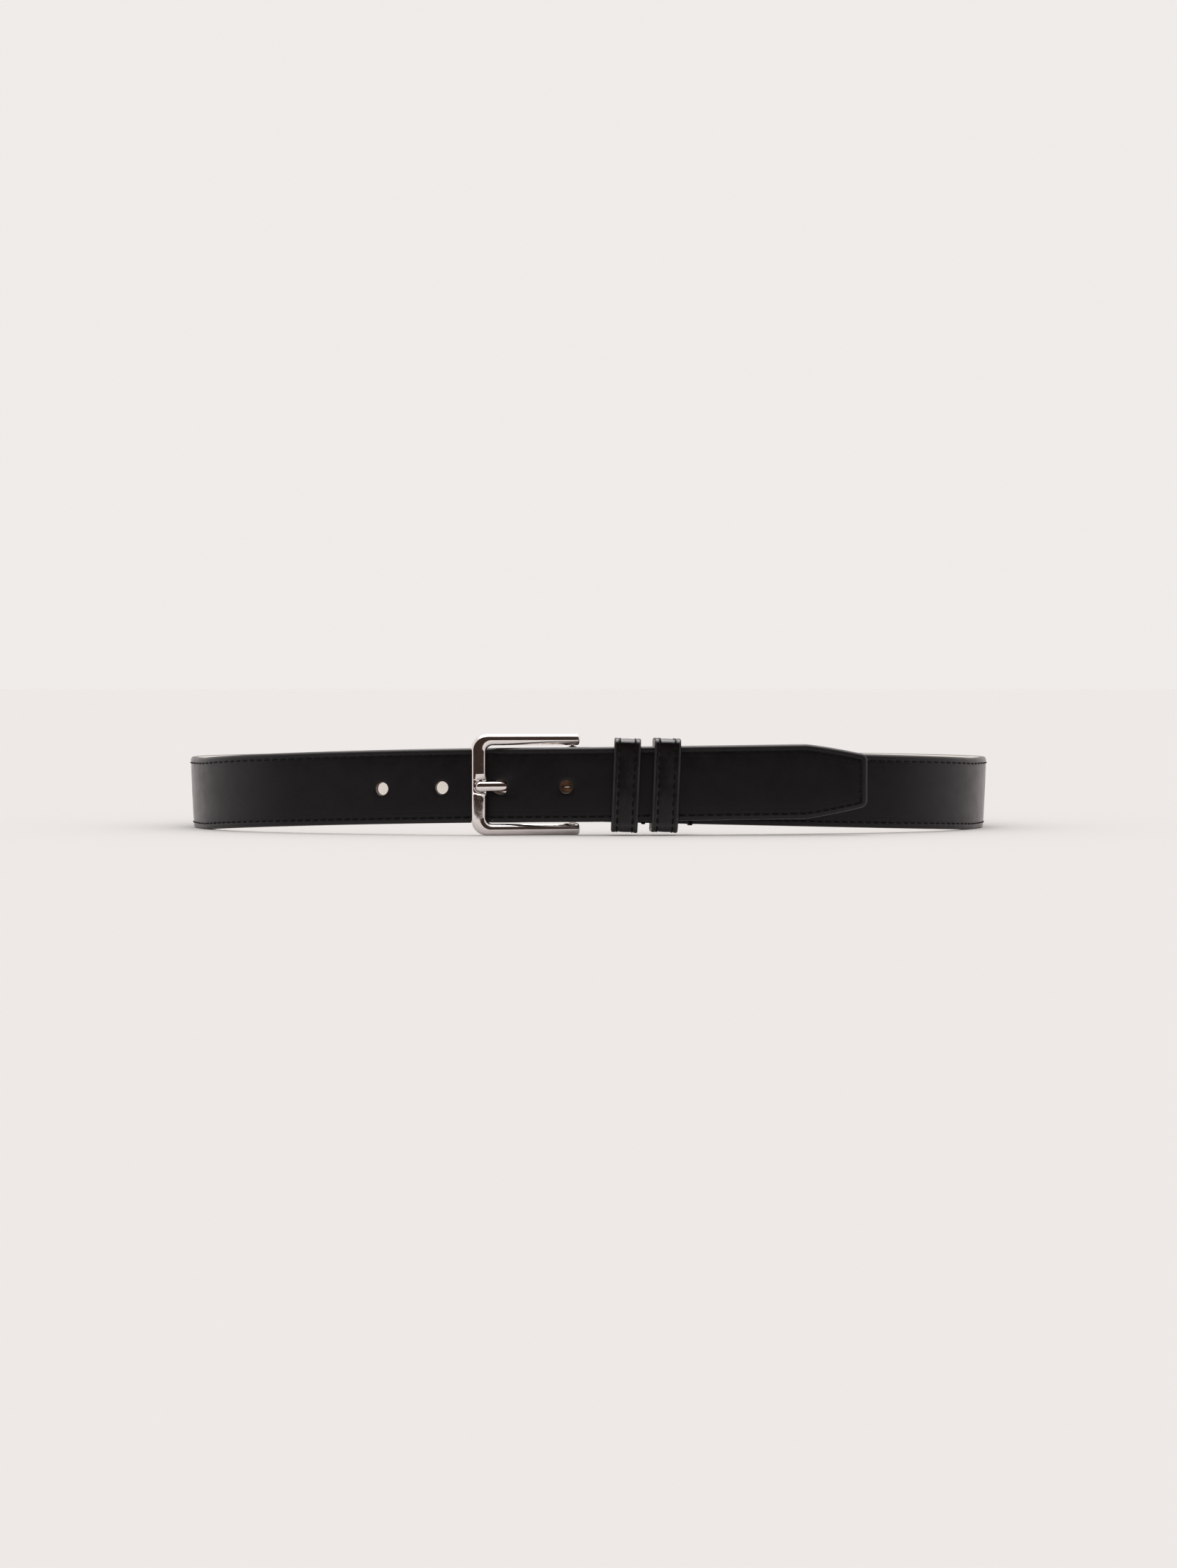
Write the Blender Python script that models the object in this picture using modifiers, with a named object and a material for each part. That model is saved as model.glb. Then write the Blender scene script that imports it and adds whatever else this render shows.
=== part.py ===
"""A man's leather dress belt, buckled into a closed loop and standing on the edge of its strap.

Metres, +Z up.  The strap's front lies along X at negative Y, with the buckle's front bar to the
left (-X) and the strap's tip to the right (+X).  The floor is Z = 0, and the origin is under the
middle of the loop.

The strap is followed by its run: the distance along it from the middle of the front, to the right,
round the back and home again.  LAP is one whole turn, so a run above LAP is the tip's overlap.
"""

import math

import bmesh
import bpy
from mathutils import Matrix, Vector

MM = 0.001

# ---- the loop in plan: straight at the buckle, gentle front arcs, tight sides, a wide back ----
FRONT_STRAIGHT = 14 * MM
FRONT_RADIUS = 245 * MM
FRONT_TURN = math.radians(26)
SIDE_RADIUS = 82 * MM
SIDE_TURN = math.radians(92)
BACK_TURN = math.pi - FRONT_TURN - SIDE_TURN
FRONT_LINE_Y = -112.23 * MM

# ---- the strap: face leather, filler board and lining, with a hair of air between the sheets ----
STRAP_WIDTH = 30 * MM
STRAP_THICKNESS = 3.2 * MM
FACE_THICKNESS = 1.3 * MM
FILLER_THICKNESS = 0.5 * MM
LINING_THICKNESS = 0.8 * MM
AIR = 0.3 * MM
SIDE_LEAN = math.tan(math.radians(2.6))

# ---- heights of the strap's lower edge: lifted by the buckle, down on the floor at the sides ----
BUCKLE_LIFT = 5.5 * MM
LEFT_SLOPE = (182 * MM, 0.10)
RIGHT_SLOPE = (180 * MM, 0.73)
TIP_RISE = 0.014

# ---- the tip ----
TIP_RUN = 108.2 * MM
TAPER_LENGTH = 23.3 * MM
TIP_HALF_WIDTH = 10.4 * MM
TIP_CORNER = 2.8 * MM
TIP_RADIUS = 900 * MM

# ---- where the strap passes the buckle, as distances outward of the loop's own line ----
BEHIND_BAR = 2.3 * MM
OVERLAP = 4.7 * MM
DRIFT = (-150 * MM, -50 * MM)
RISE = (-45 * MM, -30 * MM)

# ---- holes ----
HOLE_RADIUS = 2.7 * MM
HOLE_PITCH = 25 * MM
PRONG_HOLE_RUN = -34 * MM
PRONG_HOLE_RADIUS = 3.05 * MM
PRONG_HOLE_DRAG = 0.95 * MM
PRONG_HOLE_STRETCH = 1.45
HOLE_HEIGHT = 14.3 * MM
HOLE_SIDES = 20
HOLE_EASE = math.radians(4)

# ---- the buckle ----
HEEL = Vector((-6.5 * MM, FRONT_LINE_Y + 1.75 * MM, 0))
HEEL_BAR_RADIUS = 1.75 * MM
HEEL_PIN_RADIUS = 0.9 * MM
SOCKET_END = 1.3 * MM
PIN_END = 1.6 * MM
FRAME_ANGLE = math.radians(12)
FRAME_HEIGHT = 41 * MM
FRAME_DEPTH = 4.0 * MM
FRONT_BAR_X = -38.5 * MM
FRONT_BAR_WIDTH = 6.0 * MM
ARM_WIDTH = 4.7 * MM
ARM_END_X = 2.8 * MM
FRAME_CORNER = 6.5 * MM
FRAME_INNER_CORNER = 2.6 * MM
FRAME_BEVEL = 1.1 * MM
SEAT_WIDTH = 5.4 * MM
SEAT_MARGIN = 0.6 * MM

# ---- the prong: a flat strip bent round the heel bar, through the hole and onto the bar ----
PRONG_WIDTH = 4.1 * MM
PRONG_THICKNESS = 1.9 * MM
PRONG_HEIGHT = 19.8 * MM
PRONG_SLOPE = math.radians(16.8)
PRONG_TIP = Vector((-36.9 * MM, -9.35 * MM))
PRONG_STRAIGHT = 21 * MM
PRONG_BEND = 7 * MM
PRONG_LOOP = math.radians(292)
PRONG_CHAMFER = 0.6 * MM
SLOT_HEIGHT = 8 * MM
SLOT_ACROSS = (-6 * MM, 6.5 * MM)
SLOT_DEEP = (-3.6 * MM, 5 * MM)

# ---- the fold round the heel bar and the keepers, measured along the front of the loop ----
FLAP_END = 45 * MM
FOLD_RADIUS = HEEL_BAR_RADIUS + AIR + FACE_THICKNESS / 2
CORE_START = 6 * MM
KEEPER_RUNS = (15.1 * MM, 30.8 * MM)
KEEPER_WIDTH = 10.5 * MM
KEEPER_HEIGHT = 38 * MM
KEEPER_MIDDLE = 20.2 * MM
KEEPER_LEAN = math.radians(2.3)
KEEPER_INNER_FRONT = 7.35 * MM
KEEPER_FACE = 0.8 * MM
KEEPER_LINING = 0.5 * MM
KEEPER_BACK_FACE = 0.6 * MM
KEEPER_BACK_AIR = 0.1 * MM
KEEPER_CORNERS = (2.0 * MM, 1.2 * MM, 0.9 * MM, 0.6 * MM)
STITCH_ROW_RUNS = (3.8 * MM, 22.5 * MM, 41.6 * MM)
THREAD_RADIUS = 0.4 * MM
THREAD_CORNER = 0.6 * MM
ROUND_SIDES = 20

COLOURS = {
    "black_leather": ((0.016, 0.016, 0.018), 0.45, 0.0),
    "filler_board": ((0.20, 0.11, 0.06), 0.80, 0.0),
    "lining_leather": ((0.80, 0.75, 0.69), 0.70, 0.0),
    "nickel": ((0.80, 0.75, 0.73), 0.15, 1.0),
    "thread": ((0.012, 0.012, 0.013), 0.60, 0.0),
}


def arc_list():
    """The loop as (length, radius) stretches; radius 0 is straight. The back radius closes it."""
    reach = FRONT_STRAIGHT + FRONT_RADIUS * math.sin(FRONT_TURN)
    reach += SIDE_RADIUS * (math.sin(FRONT_TURN + SIDE_TURN) - math.sin(FRONT_TURN))
    back_radius = reach / math.sin(BACK_TURN)
    half = [
        (FRONT_STRAIGHT, 0),
        (FRONT_RADIUS * FRONT_TURN, FRONT_RADIUS),
        (SIDE_RADIUS * SIDE_TURN, SIDE_RADIUS),
        (back_radius * BACK_TURN, back_radius),
    ]
    return half + half[::-1]


ARCS = arc_list()
LAP = sum(length for length, radius in ARCS)


def loop_point(run):
    """Point and heading of the loop's line at a run, counter-clockwise from the front's middle."""
    left = run % LAP
    point = Vector((0, FRONT_LINE_Y))
    heading = 0.0
    for length, radius in ARCS:
        step = min(left, length)
        if radius:
            turn = step / radius
            along = radius * math.sin(turn)
            aside = radius * (1 - math.cos(turn))
        else:
            turn = 0.0
            along = step
            aside = 0.0
        forward = Vector((math.cos(heading), math.sin(heading)))
        inward = Vector((-forward.y, forward.x))
        point = point + forward * along + inward * aside
        heading += turn
        left -= step
        if left <= 0:
            break
    return point, heading


def outward(heading):
    return Vector((math.sin(heading), -math.cos(heading)))


def smooth(low, high, value):
    t = min(max((value - low) / (high - low), 0.0), 1.0)
    return t * t * (3 - 2 * t)


def strap_offset(run):
    """How far outward of the loop's line the strap's middle lies."""
    past = run - LAP
    offset = BEHIND_BAR * smooth(*DRIFT, past) + (OVERLAP - BEHIND_BAR) * smooth(*RISE, past)
    if past > FRONT_STRAIGHT:
        offset += (past - FRONT_STRAIGHT) ** 2 / 2 * (1 / FRONT_RADIUS - 1 / TIP_RADIUS)
    return offset


def lower_edge(run):
    """Height of the strap's lower edge."""
    past = run - LAP
    if past > 0:
        return BUCKLE_LIFT + TIP_RISE * past
    reach, bias = LEFT_SLOPE if past > -LAP / 2 else RIGHT_SLOPE
    away = -past if past > -LAP / 2 else max(run, 0)
    t = min(away / reach, 1.0)
    return BUCKLE_LIFT * (1 - bias * t - (1 - bias) * t * t)


def half_width(run):
    """Half the strap's width: full to the taper, then a slightly bowed taper with round corners."""
    from_end = LAP + TIP_RUN - run
    full = STRAP_WIDTH / 2
    if from_end > TAPER_LENGTH:
        return full
    t = 1 - from_end / TAPER_LENGTH
    width = full - (full - TIP_HALF_WIDTH) * t ** 1.25
    if from_end < TIP_CORNER:
        width -= TIP_CORNER - math.sqrt(TIP_CORNER ** 2 - (TIP_CORNER - from_end) ** 2)
    return width


def strap_centre(run):
    """The strap's middle line in plan, its outward normal and the loop's own heading."""
    point, heading = loop_point(run)
    here = point + outward(heading) * strap_offset(run)
    ahead_point, ahead_heading = loop_point(run + 0.1 * MM)
    ahead = ahead_point + outward(ahead_heading) * strap_offset(run + 0.1 * MM)
    along = (ahead - here).normalized()
    return here, Vector((along.y, -along.x)), heading


def section(point, normal, heading, low, high, outer, inner):
    """Four corners of one sheet's cross-section; the sides of the loop lean out at the top."""
    lean = outward(heading) * (SIDE_LEAN * math.sin(heading) ** 2)
    corners = []
    for depth, height in ((outer, low), (outer, high), (inner, high), (inner, low)):
        flat = point + normal * depth + lean * (height - low)
        corners.append(Vector((flat.x, flat.y, height)))
    return corners


def strap_sections(runs, outer, inner):
    result = []
    for run in runs:
        point, normal, heading = strap_centre(run)
        middle = lower_edge(run) + STRAP_WIDTH / 2
        half = half_width(run)
        result.append(section(point, normal, heading, middle - half, middle + half, outer, inner))
    return result


def spaced(start, stop, step):
    count = max(1, math.ceil((stop - start) / step))
    return [start + (stop - start) * i / count for i in range(count + 1)]


def strap_runs(start):
    """Stations along the strap: wide apart at the back, close at the buckle and at the tip."""
    stops = [start, FRONT_STRAIGHT, LAP / 2 - 190 * MM, LAP / 2 + 190 * MM, LAP + DRIFT[1],
             LAP + RISE[0], LAP + RISE[1], LAP + FRONT_STRAIGHT, LAP + TIP_RUN - TAPER_LENGTH,
             LAP + TIP_RUN - TIP_CORNER]
    steps = [9 * MM, 9 * MM, 12 * MM, 9 * MM, 6 * MM, 1.9 * MM, 15 * MM, 20 * MM, 5 * MM]
    runs = [start]
    for low, high, step in zip(stops, stops[1:], steps):
        runs += spaced(low, high, step)[1:]
    for angle in (22.5, 45, 67.5, 90):
        runs.append(stops[-1] + TIP_CORNER * math.sin(math.radians(angle)))
    return runs


def material(slot):
    found = bpy.data.materials.new(slot)
    colour, roughness, metallic = COLOURS[slot]
    found.use_nodes = True
    shader = found.node_tree.nodes["Principled BSDF"]
    shader.inputs["Base Color"].default_value = (*colour, 1)
    shader.inputs["Roughness"].default_value = roughness
    shader.inputs["Metallic"].default_value = metallic
    return found


def collection(name):
    found = bpy.data.collections.new(name)
    bpy.context.scene.collection.children.link(found)
    return found


def mesh_object(name, made, slot, group):
    """Turns a bmesh into a named object with its own material."""
    bmesh.ops.recalc_face_normals(made, faces=made.faces)
    mesh = bpy.data.meshes.new(name)
    made.to_mesh(mesh)
    made.free()
    found = bpy.data.objects.new(name, mesh)
    group.objects.link(found)
    if slot:
        mesh.materials.append(material(slot))
    return found


def loft(name, sections, slot, group, closed=False):
    """Joins cross-sections with quads, and caps the two ends unless the loft is a ring."""
    made = bmesh.new()
    rings = [[made.verts.new(corner) for corner in corners] for corners in sections]
    size = len(rings[0])
    pairs = list(zip(rings, rings[1:]))
    if closed:
        pairs.append((rings[-1], rings[0]))
    else:
        made.faces.new(rings[0])
        made.faces.new(rings[-1])
    for first, second in pairs:
        for i in range(size):
            j = (i + 1) % size
            made.faces.new((first[i], first[j], second[j], second[i]))
    return mesh_object(name, made, slot, group)


def cut(target, cutter):
    boolean = target.modifiers.new("cut_" + cutter.name, "BOOLEAN")
    boolean.operation = "DIFFERENCE"
    boolean.object = cutter


def hide(cutter):
    cutter.hide_render = True
    cutter.display_type = "WIRE"


def hole_cutter(run, radius, slant, stretch, cutters, name):
    """A punch through the strap. The prong has leaned the used hole over and stretched it."""
    point, normal, heading = strap_centre(run)
    along = Vector((-normal.y, normal.x, 0))
    axis = Vector((normal.x, normal.y, 0)) + along * slant
    centre = Vector((point.x, point.y, lower_edge(run) + HOLE_HEIGHT))
    reach = STRAP_THICKNESS
    rings = []
    for side in (-1, 1):
        middle = centre + axis * (side * reach)
        ring = []
        for i in range(HOLE_SIDES):
            angle = math.tau * i / HOLE_SIDES
            ring.append(middle + along * (radius * stretch * math.cos(angle))
                        + Vector((0, 0, radius * math.sin(angle))))
        rings.append(ring)
    cutter = loft(name, rings, None, cutters)
    hide(cutter)
    return cutter


def prong_slant():
    """Sideways shift of the prong's hole for each unit of depth, so that the prong clears it."""
    point, normal, heading = strap_centre(LAP + PRONG_HOLE_RUN)
    slope = math.atan2(-normal.x, -normal.y)
    crossing = PRONG_SLOPE + HOLE_EASE + abs(slope)
    return -1 / math.tan(crossing)


def box_cutter(name, low, high, cutters):
    made = bmesh.new()
    bmesh.ops.create_cube(made, size=1)
    scale = Matrix.Diagonal((*(Vector(high) - Vector(low)), 1))
    place = Matrix.Translation((Vector(high) + Vector(low)) / 2)
    bmesh.ops.transform(made, matrix=place @ scale, verts=made.verts)
    cutter = mesh_object(name, made, None, cutters)
    hide(cutter)
    return cutter


def make_strap(parts, cutters):
    """Face leather, filler and lining. The face alone turns back round the heel bar as a flap."""
    half = STRAP_THICKNESS / 2
    face_middle = half - FACE_THICKNESS / 2
    flap_depth = face_middle - 2 * FOLD_RADIUS
    sections = []
    grip = FACE_THICKNESS / 2
    for run in spaced(-FLAP_END, -HEEL.x, 8 * MM):
        spot, heading = loop_point(-run if run < 0 else 0)
        if run > 0:
            spot = spot + Vector((-run, 0))
        normal = outward(heading)
        middle = spot + normal * flap_depth
        low = lower_edge(max(-run, 0))
        sections.append(section(middle, -normal, heading, low, low + STRAP_WIDTH, grip, -grip))
    centre = Vector((HEEL.x, HEEL.y))
    for step in range(1, 12):
        angle = math.pi / 2 + math.pi * step / 12
        normal = Vector((math.cos(angle), math.sin(angle)))
        low = BUCKLE_LIFT
        sections.append(section(centre + normal * FOLD_RADIUS, normal, 0, low,
                                low + STRAP_WIDTH, grip, -grip))
    front = Vector((HEEL.x, FRONT_LINE_Y))
    sections.append(section(front, Vector((0, -1)), 0, BUCKLE_LIFT, BUCKLE_LIFT + STRAP_WIDTH,
                            half, half - FACE_THICKNESS))
    sections += strap_sections(strap_runs(0), half, half - FACE_THICKNESS)
    face = loft("strap_face", sections, "black_leather", parts)

    runs = strap_runs(CORE_START)
    filler_top = half - FACE_THICKNESS - AIR
    filler = loft("strap_filler", strap_sections(runs, filler_top, filler_top - FILLER_THICKNESS),
                  "filler_board", parts)
    lining = loft("strap_lining", strap_sections(runs, -half + LINING_THICKNESS, -half),
                  "lining_leather", parts)

    punches = []
    for step in range(-2, 3):
        run = LAP + PRONG_HOLE_RUN + step * HOLE_PITCH
        used = step == 0
        radius = PRONG_HOLE_RADIUS if used else HOLE_RADIUS
        slant = prong_slant() if used else 0.0
        run += PRONG_HOLE_DRAG if used else 0.0
        stretch = PRONG_HOLE_STRETCH if used else 1.0
        name = "punch_%d" % (step + 3)
        punches.append(hole_cutter(run, radius, slant, stretch, cutters, name))
    for layer in (face, filler, lining):
        for punch in punches:
            cut(layer, punch)
    low = (HEEL.x + SLOT_ACROSS[0], HEEL.y + SLOT_DEEP[0], PRONG_HEIGHT - SLOT_HEIGHT / 2)
    high = (HEEL.x + SLOT_ACROSS[1], HEEL.y + SLOT_DEEP[1], PRONG_HEIGHT + SLOT_HEIGHT / 2)
    cut(face, box_cutter("prong_slot", low, high, cutters))


def rounded(points, radius, steps=5):
    """A closed outline with its corners rounded; radius is one value for each point."""
    outline = []
    count = len(points)
    for i, corner in enumerate(points):
        before = (points[i - 1] - corner).normalized()
        after = (points[(i + 1) % count] - corner).normalized()
        if radius[i] <= 0:
            outline.append(corner)
            continue
        half = before.angle(after) / 2
        reach = radius[i] / math.tan(half)
        centre = corner + (before + after).normalized() * (radius[i] / math.sin(half))
        start = corner + before * reach - centre
        stop = corner + after * reach - centre
        turn = start.angle_signed(stop)
        for step in range(steps + 1):
            angle = -turn * step / steps
            c, s = math.cos(angle), math.sin(angle)
            outline.append(centre + Vector((start.x * c - start.y * s,
                                            start.x * s + start.y * c)))
    return outline


def plate(name, outline, low, high, slot, group):
    """An outline in X and Z, extruded along Y."""
    made = bmesh.new()
    ring = [made.verts.new((p.x, low, p.y)) for p in outline]
    face = made.faces.new(ring)
    grown = bmesh.ops.extrude_face_region(made, geom=[face])["geom"]
    moved = [item for item in grown if isinstance(item, bmesh.types.BMVert)]
    bmesh.ops.translate(made, verts=moved, vec=(0, high - low, 0))
    return mesh_object(name, made, slot, group)


def make_frame(parts, cutters, hinge):
    """The U-shaped frame in its own flat frame, with the seat for the prong and two bar sockets."""
    left = FRONT_BAR_X - FRONT_BAR_WIDTH / 2
    inner = FRONT_BAR_X + FRONT_BAR_WIDTH / 2
    top = FRAME_HEIGHT
    outline = rounded(
        [Vector(p) for p in ((left, 0), (ARM_END_X, 0), (ARM_END_X, ARM_WIDTH),
                             (inner, ARM_WIDTH), (inner, top - ARM_WIDTH),
                             (ARM_END_X, top - ARM_WIDTH), (ARM_END_X, top), (left, top))],
        (FRAME_CORNER, 0, 0, FRAME_INNER_CORNER, FRAME_INNER_CORNER, 0, 0, FRAME_CORNER))
    frame = plate("buckle_frame", outline, -FRAME_DEPTH / 2, FRAME_DEPTH / 2, "nickel", parts)
    bevel = frame.modifiers.new("round_edges", "BEVEL")
    bevel.width = FRAME_BEVEL
    bevel.segments = 2
    bevel.limit_method = "ANGLE"
    bevel.angle_limit = math.radians(50)
    bevel.harden_normals = False

    seat = box_cutter("prong_seat",
                      (-PRONG_WIDTH / 2 - SEAT_MARGIN, -FRAME_DEPTH, -SEAT_WIDTH / 2),
                      (2 * FRONT_BAR_WIDTH, PRONG_THICKNESS / 2 + AIR, SEAT_WIDTH / 2), cutters)
    tip, before = prong_line()[-1], prong_line()[-2]
    slope = math.atan2(before.y - tip.y, before.x - tip.x)
    seat.matrix_world = (Matrix.Translation(HEEL + Vector((tip.x, tip.y, PRONG_HEIGHT)))
                         @ Matrix.Rotation(slope, 4, "Z"))
    cut(frame, seat)
    reach = HEEL_PIN_RADIUS + AIR
    socket = turned("bar_socket", [(reach, top - SOCKET_END), (reach, SOCKET_END)], None, cutters)
    socket.parent = hinge
    hide(socket)
    cut(frame, socket)
    frame.parent = hinge


def turned(name, profile, slot, group):
    """A solid of revolution about Z from (radius, height) points that run top to bottom."""
    made = bmesh.new()
    points = [(0, profile[0][1])] + list(profile) + [(0, profile[-1][1])]
    verts = [made.verts.new((radius, 0, height)) for radius, height in points]
    for first, second in zip(verts, verts[1:]):
        made.edges.new((first, second))
    mesh = bpy.data.meshes.new(name)
    made.to_mesh(mesh)
    made.free()
    found = bpy.data.objects.new(name, mesh)
    group.objects.link(found)
    if slot:
        mesh.materials.append(material(slot))
    screw = found.modifiers.new("turn", "SCREW")
    screw.steps = ROUND_SIDES
    screw.render_steps = ROUND_SIDES
    screw.use_merge_vertices = True
    screw.merge_threshold = 0.00001
    screw.use_smooth_shade = True
    return found


def make_heel_bar(parts, hinge):
    """A plain bar between the arms, with a thin pin at each end that sits in the arm's socket."""
    shoulder = ARM_WIDTH + AIR
    profile = [
        (HEEL_PIN_RADIUS, FRAME_HEIGHT - PIN_END), (HEEL_PIN_RADIUS, FRAME_HEIGHT - shoulder),
        (HEEL_BAR_RADIUS, FRAME_HEIGHT - shoulder), (HEEL_BAR_RADIUS, shoulder),
        (HEEL_PIN_RADIUS, shoulder), (HEEL_PIN_RADIUS, PIN_END),
    ]
    bar = turned("heel_bar", profile, "nickel", parts)
    bar.parent = hinge


def prong_line():
    """The prong's middle line in plan, from the heel bar: almost a full loop, then the shank."""
    radius = HEEL_BAR_RADIUS + AIR + PRONG_THICKNESS / 2
    leave = math.pi / 2 + PRONG_SLOPE
    start = leave - PRONG_LOOP
    points = []
    for step in range(15):
        angle = start + (leave - start) * step / 14
        points.append(Vector((math.cos(angle), math.sin(angle))) * radius)
    bend_start = points[-1]
    ahead = Vector((-math.cos(PRONG_SLOPE), -math.sin(PRONG_SLOPE)))
    straight_end = bend_start + ahead * PRONG_STRAIGHT
    control = straight_end + ahead * PRONG_BEND
    for step in range(9):
        t = step / 8
        points.append(straight_end * (1 - t) ** 2 + control * 2 * t * (1 - t) + PRONG_TIP * t * t)
    return points


def make_prong(parts, hinge):
    """A strip of constant thickness along the prong's line, its tip narrowed to a round end."""
    line = prong_line()
    sections = []
    last = len(line) - 1
    for i, point in enumerate(line):
        along = (line[min(i + 1, last)] - line[max(i - 1, 0)]).normalized()
        side = Vector((-along.y, along.x))
        sections.append(prong_section(point, side, PRONG_WIDTH / 2, PRONG_THICKNESS / 2))
    along = (line[-1] - line[-2]).normalized()
    side = Vector((-along.y, along.x))
    for angle in (30, 60, 80):
        grown = math.radians(angle)
        point = line[-1] + along * (PRONG_WIDTH / 2 * math.sin(grown))
        sections.append(prong_section(point, side, PRONG_WIDTH / 2 * math.cos(grown),
                                      PRONG_THICKNESS / 2 * (0.4 + 0.6 * math.cos(grown))))
    prong = loft("prong", sections, "nickel", parts)
    prong.parent = hinge


def prong_section(point, side, half, thick):
    """An eight-sided section: flat faces with broken edges."""
    chamfer = min(PRONG_CHAMFER, half * 0.4, thick * 0.65)
    corners = []
    for across, up in ((-thick, half - chamfer), (-thick + chamfer, half),
                       (thick - chamfer, half), (thick, half - chamfer),
                       (thick, -half + chamfer), (thick - chamfer, -half),
                       (-thick + chamfer, -half), (-thick, -half + chamfer)):
        flat = point + side * across
        corners.append(Vector((flat.x, flat.y, PRONG_HEIGHT + up)))
    return corners


def keeper_place(run):
    """The slide axis of a keeper: square to the loop's line, leaning with the strap under it."""
    point, heading = loop_point(run)
    turn = Matrix.Rotation(heading, 4, "Z") @ Matrix.Rotation(KEEPER_LEAN, 4, "Y")
    return Matrix.Translation((point.x, point.y, KEEPER_MIDDLE)) @ turn


def keeper_ring(front, back, height, corner, steps=3):
    """A rounded rectangle across the keeper: depth along Y (front is -Y) and height along Z."""
    half = height / 2
    points = [Vector(p) for p in ((-front, -half), (back, -half), (back, half), (-front, half))]
    return rounded(points, (corner,) * 4, steps)


def make_keeper(number, run, parts):
    """A band of face leather and its lining, both closed rings round the straps."""
    back_wall = STRAP_THICKNESS / 2 + AIR
    lining_front = KEEPER_INNER_FRONT + KEEPER_LINING
    lining_back = back_wall + KEEPER_LINING
    face_front = lining_front + AIR + KEEPER_FACE
    face_back = lining_back + KEEPER_BACK_AIR + KEEPER_BACK_FACE
    inner_height = KEEPER_HEIGHT - 2 * (KEEPER_FACE + AIR + KEEPER_LINING)
    bands = (
        ("face", "black_leather",
         keeper_ring(face_front, face_back, KEEPER_HEIGHT, KEEPER_CORNERS[0]),
         keeper_ring(face_front - KEEPER_FACE, face_back - KEEPER_BACK_FACE,
                     KEEPER_HEIGHT - 2 * KEEPER_FACE, KEEPER_CORNERS[1])),
        ("lining", "lining_leather",
         keeper_ring(lining_front, lining_back, inner_height + 2 * KEEPER_LINING,
                     KEEPER_CORNERS[2]),
         keeper_ring(KEEPER_INNER_FRONT, back_wall, inner_height, KEEPER_CORNERS[3])),
    )
    place = keeper_place(run)
    for label, slot, outer, inner in bands:
        sections = []
        for out, into in zip(outer, inner):
            corners = [(-KEEPER_WIDTH / 2, out), (KEEPER_WIDTH / 2, out),
                       (KEEPER_WIDTH / 2, into), (-KEEPER_WIDTH / 2, into)]
            sections.append([Vector((x, p.x, p.y)) for x, p in corners])
        band = loft("keeper_%d_%s" % (number, label), sections, slot, parts, closed=True)
        band.matrix_world = place


def make_stitch_row(number, run, parts):
    """The thread of one cross row: round strap and flap together, in front, over and behind."""
    point, heading = loop_point(run)
    low = lower_edge(run) - AIR - THREAD_RADIUS
    high = low + STRAP_WIDTH + 2 * (AIR + THREAD_RADIUS)
    front = STRAP_THICKNESS / 2 + AIR + THREAD_RADIUS
    flap_outer = 2 * FOLD_RADIUS + FACE_THICKNESS - STRAP_THICKNESS / 2
    back = flap_outer + AIR + THREAD_RADIUS
    outline = rounded([Vector(p) for p in ((-front, low), (back, low), (back, high),
                                           (-front, high))], (THREAD_CORNER,) * 4, 3)
    sections = []
    count = len(outline)
    for i, spot in enumerate(outline):
        along = (outline[(i + 1) % count] - outline[i - 1]).normalized()
        side = Vector((0, -along.y, along.x))
        ring = []
        for k in range(6):
            angle = math.tau * k / 6
            ring.append(Vector((0, spot.x, spot.y)) + side * (THREAD_RADIUS * math.cos(angle))
                        + Vector((THREAD_RADIUS * math.sin(angle), 0, 0)))
        sections.append(ring)
    row = loft("cross_stitch_%d" % number, sections, "thread", parts, closed=True)
    row.matrix_world = (Matrix.Translation((point.x, point.y, 0))
                        @ Matrix.Rotation(heading, 4, "Z"))


def empty(name, place, group):
    found = bpy.data.objects.new(name, None)
    found.matrix_world = place
    group.objects.link(found)
    return found


def main():
    for old in list(bpy.data.objects):
        bpy.data.objects.remove(old, do_unlink=True)
    parts = collection("leather_belt")
    cutters = collection("cutters")
    frame_hinge = empty("buckle_hinge",
                        Matrix.Translation(HEEL) @ Matrix.Rotation(FRAME_ANGLE, 4, "Z"), parts)
    prong_hinge = empty("prong_hinge", Matrix.Translation(HEEL), parts)
    make_strap(parts, cutters)
    make_frame(parts, cutters, frame_hinge)
    make_heel_bar(parts, frame_hinge)
    make_prong(parts, prong_hinge)
    for number, run in enumerate(KEEPER_RUNS, 1):
        make_keeper(number, run, parts)
    for number, run in enumerate(STITCH_ROW_RUNS, 1):
        make_stitch_row(number, run, parts)


main()
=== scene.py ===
"""The looks of a black leather belt, buckled and standing on its edge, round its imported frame.

The strap is made flat, as a belt maker cuts it, and then bent into the loop.  A flat place is
(run, across, depth): run along the belt from the middle of its front, across up from its middle
line, and depth into it from the outer face.  All sizes are metres.
"""

import math

import bmesh
import bpy
from mathutils import Matrix, Vector


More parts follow.
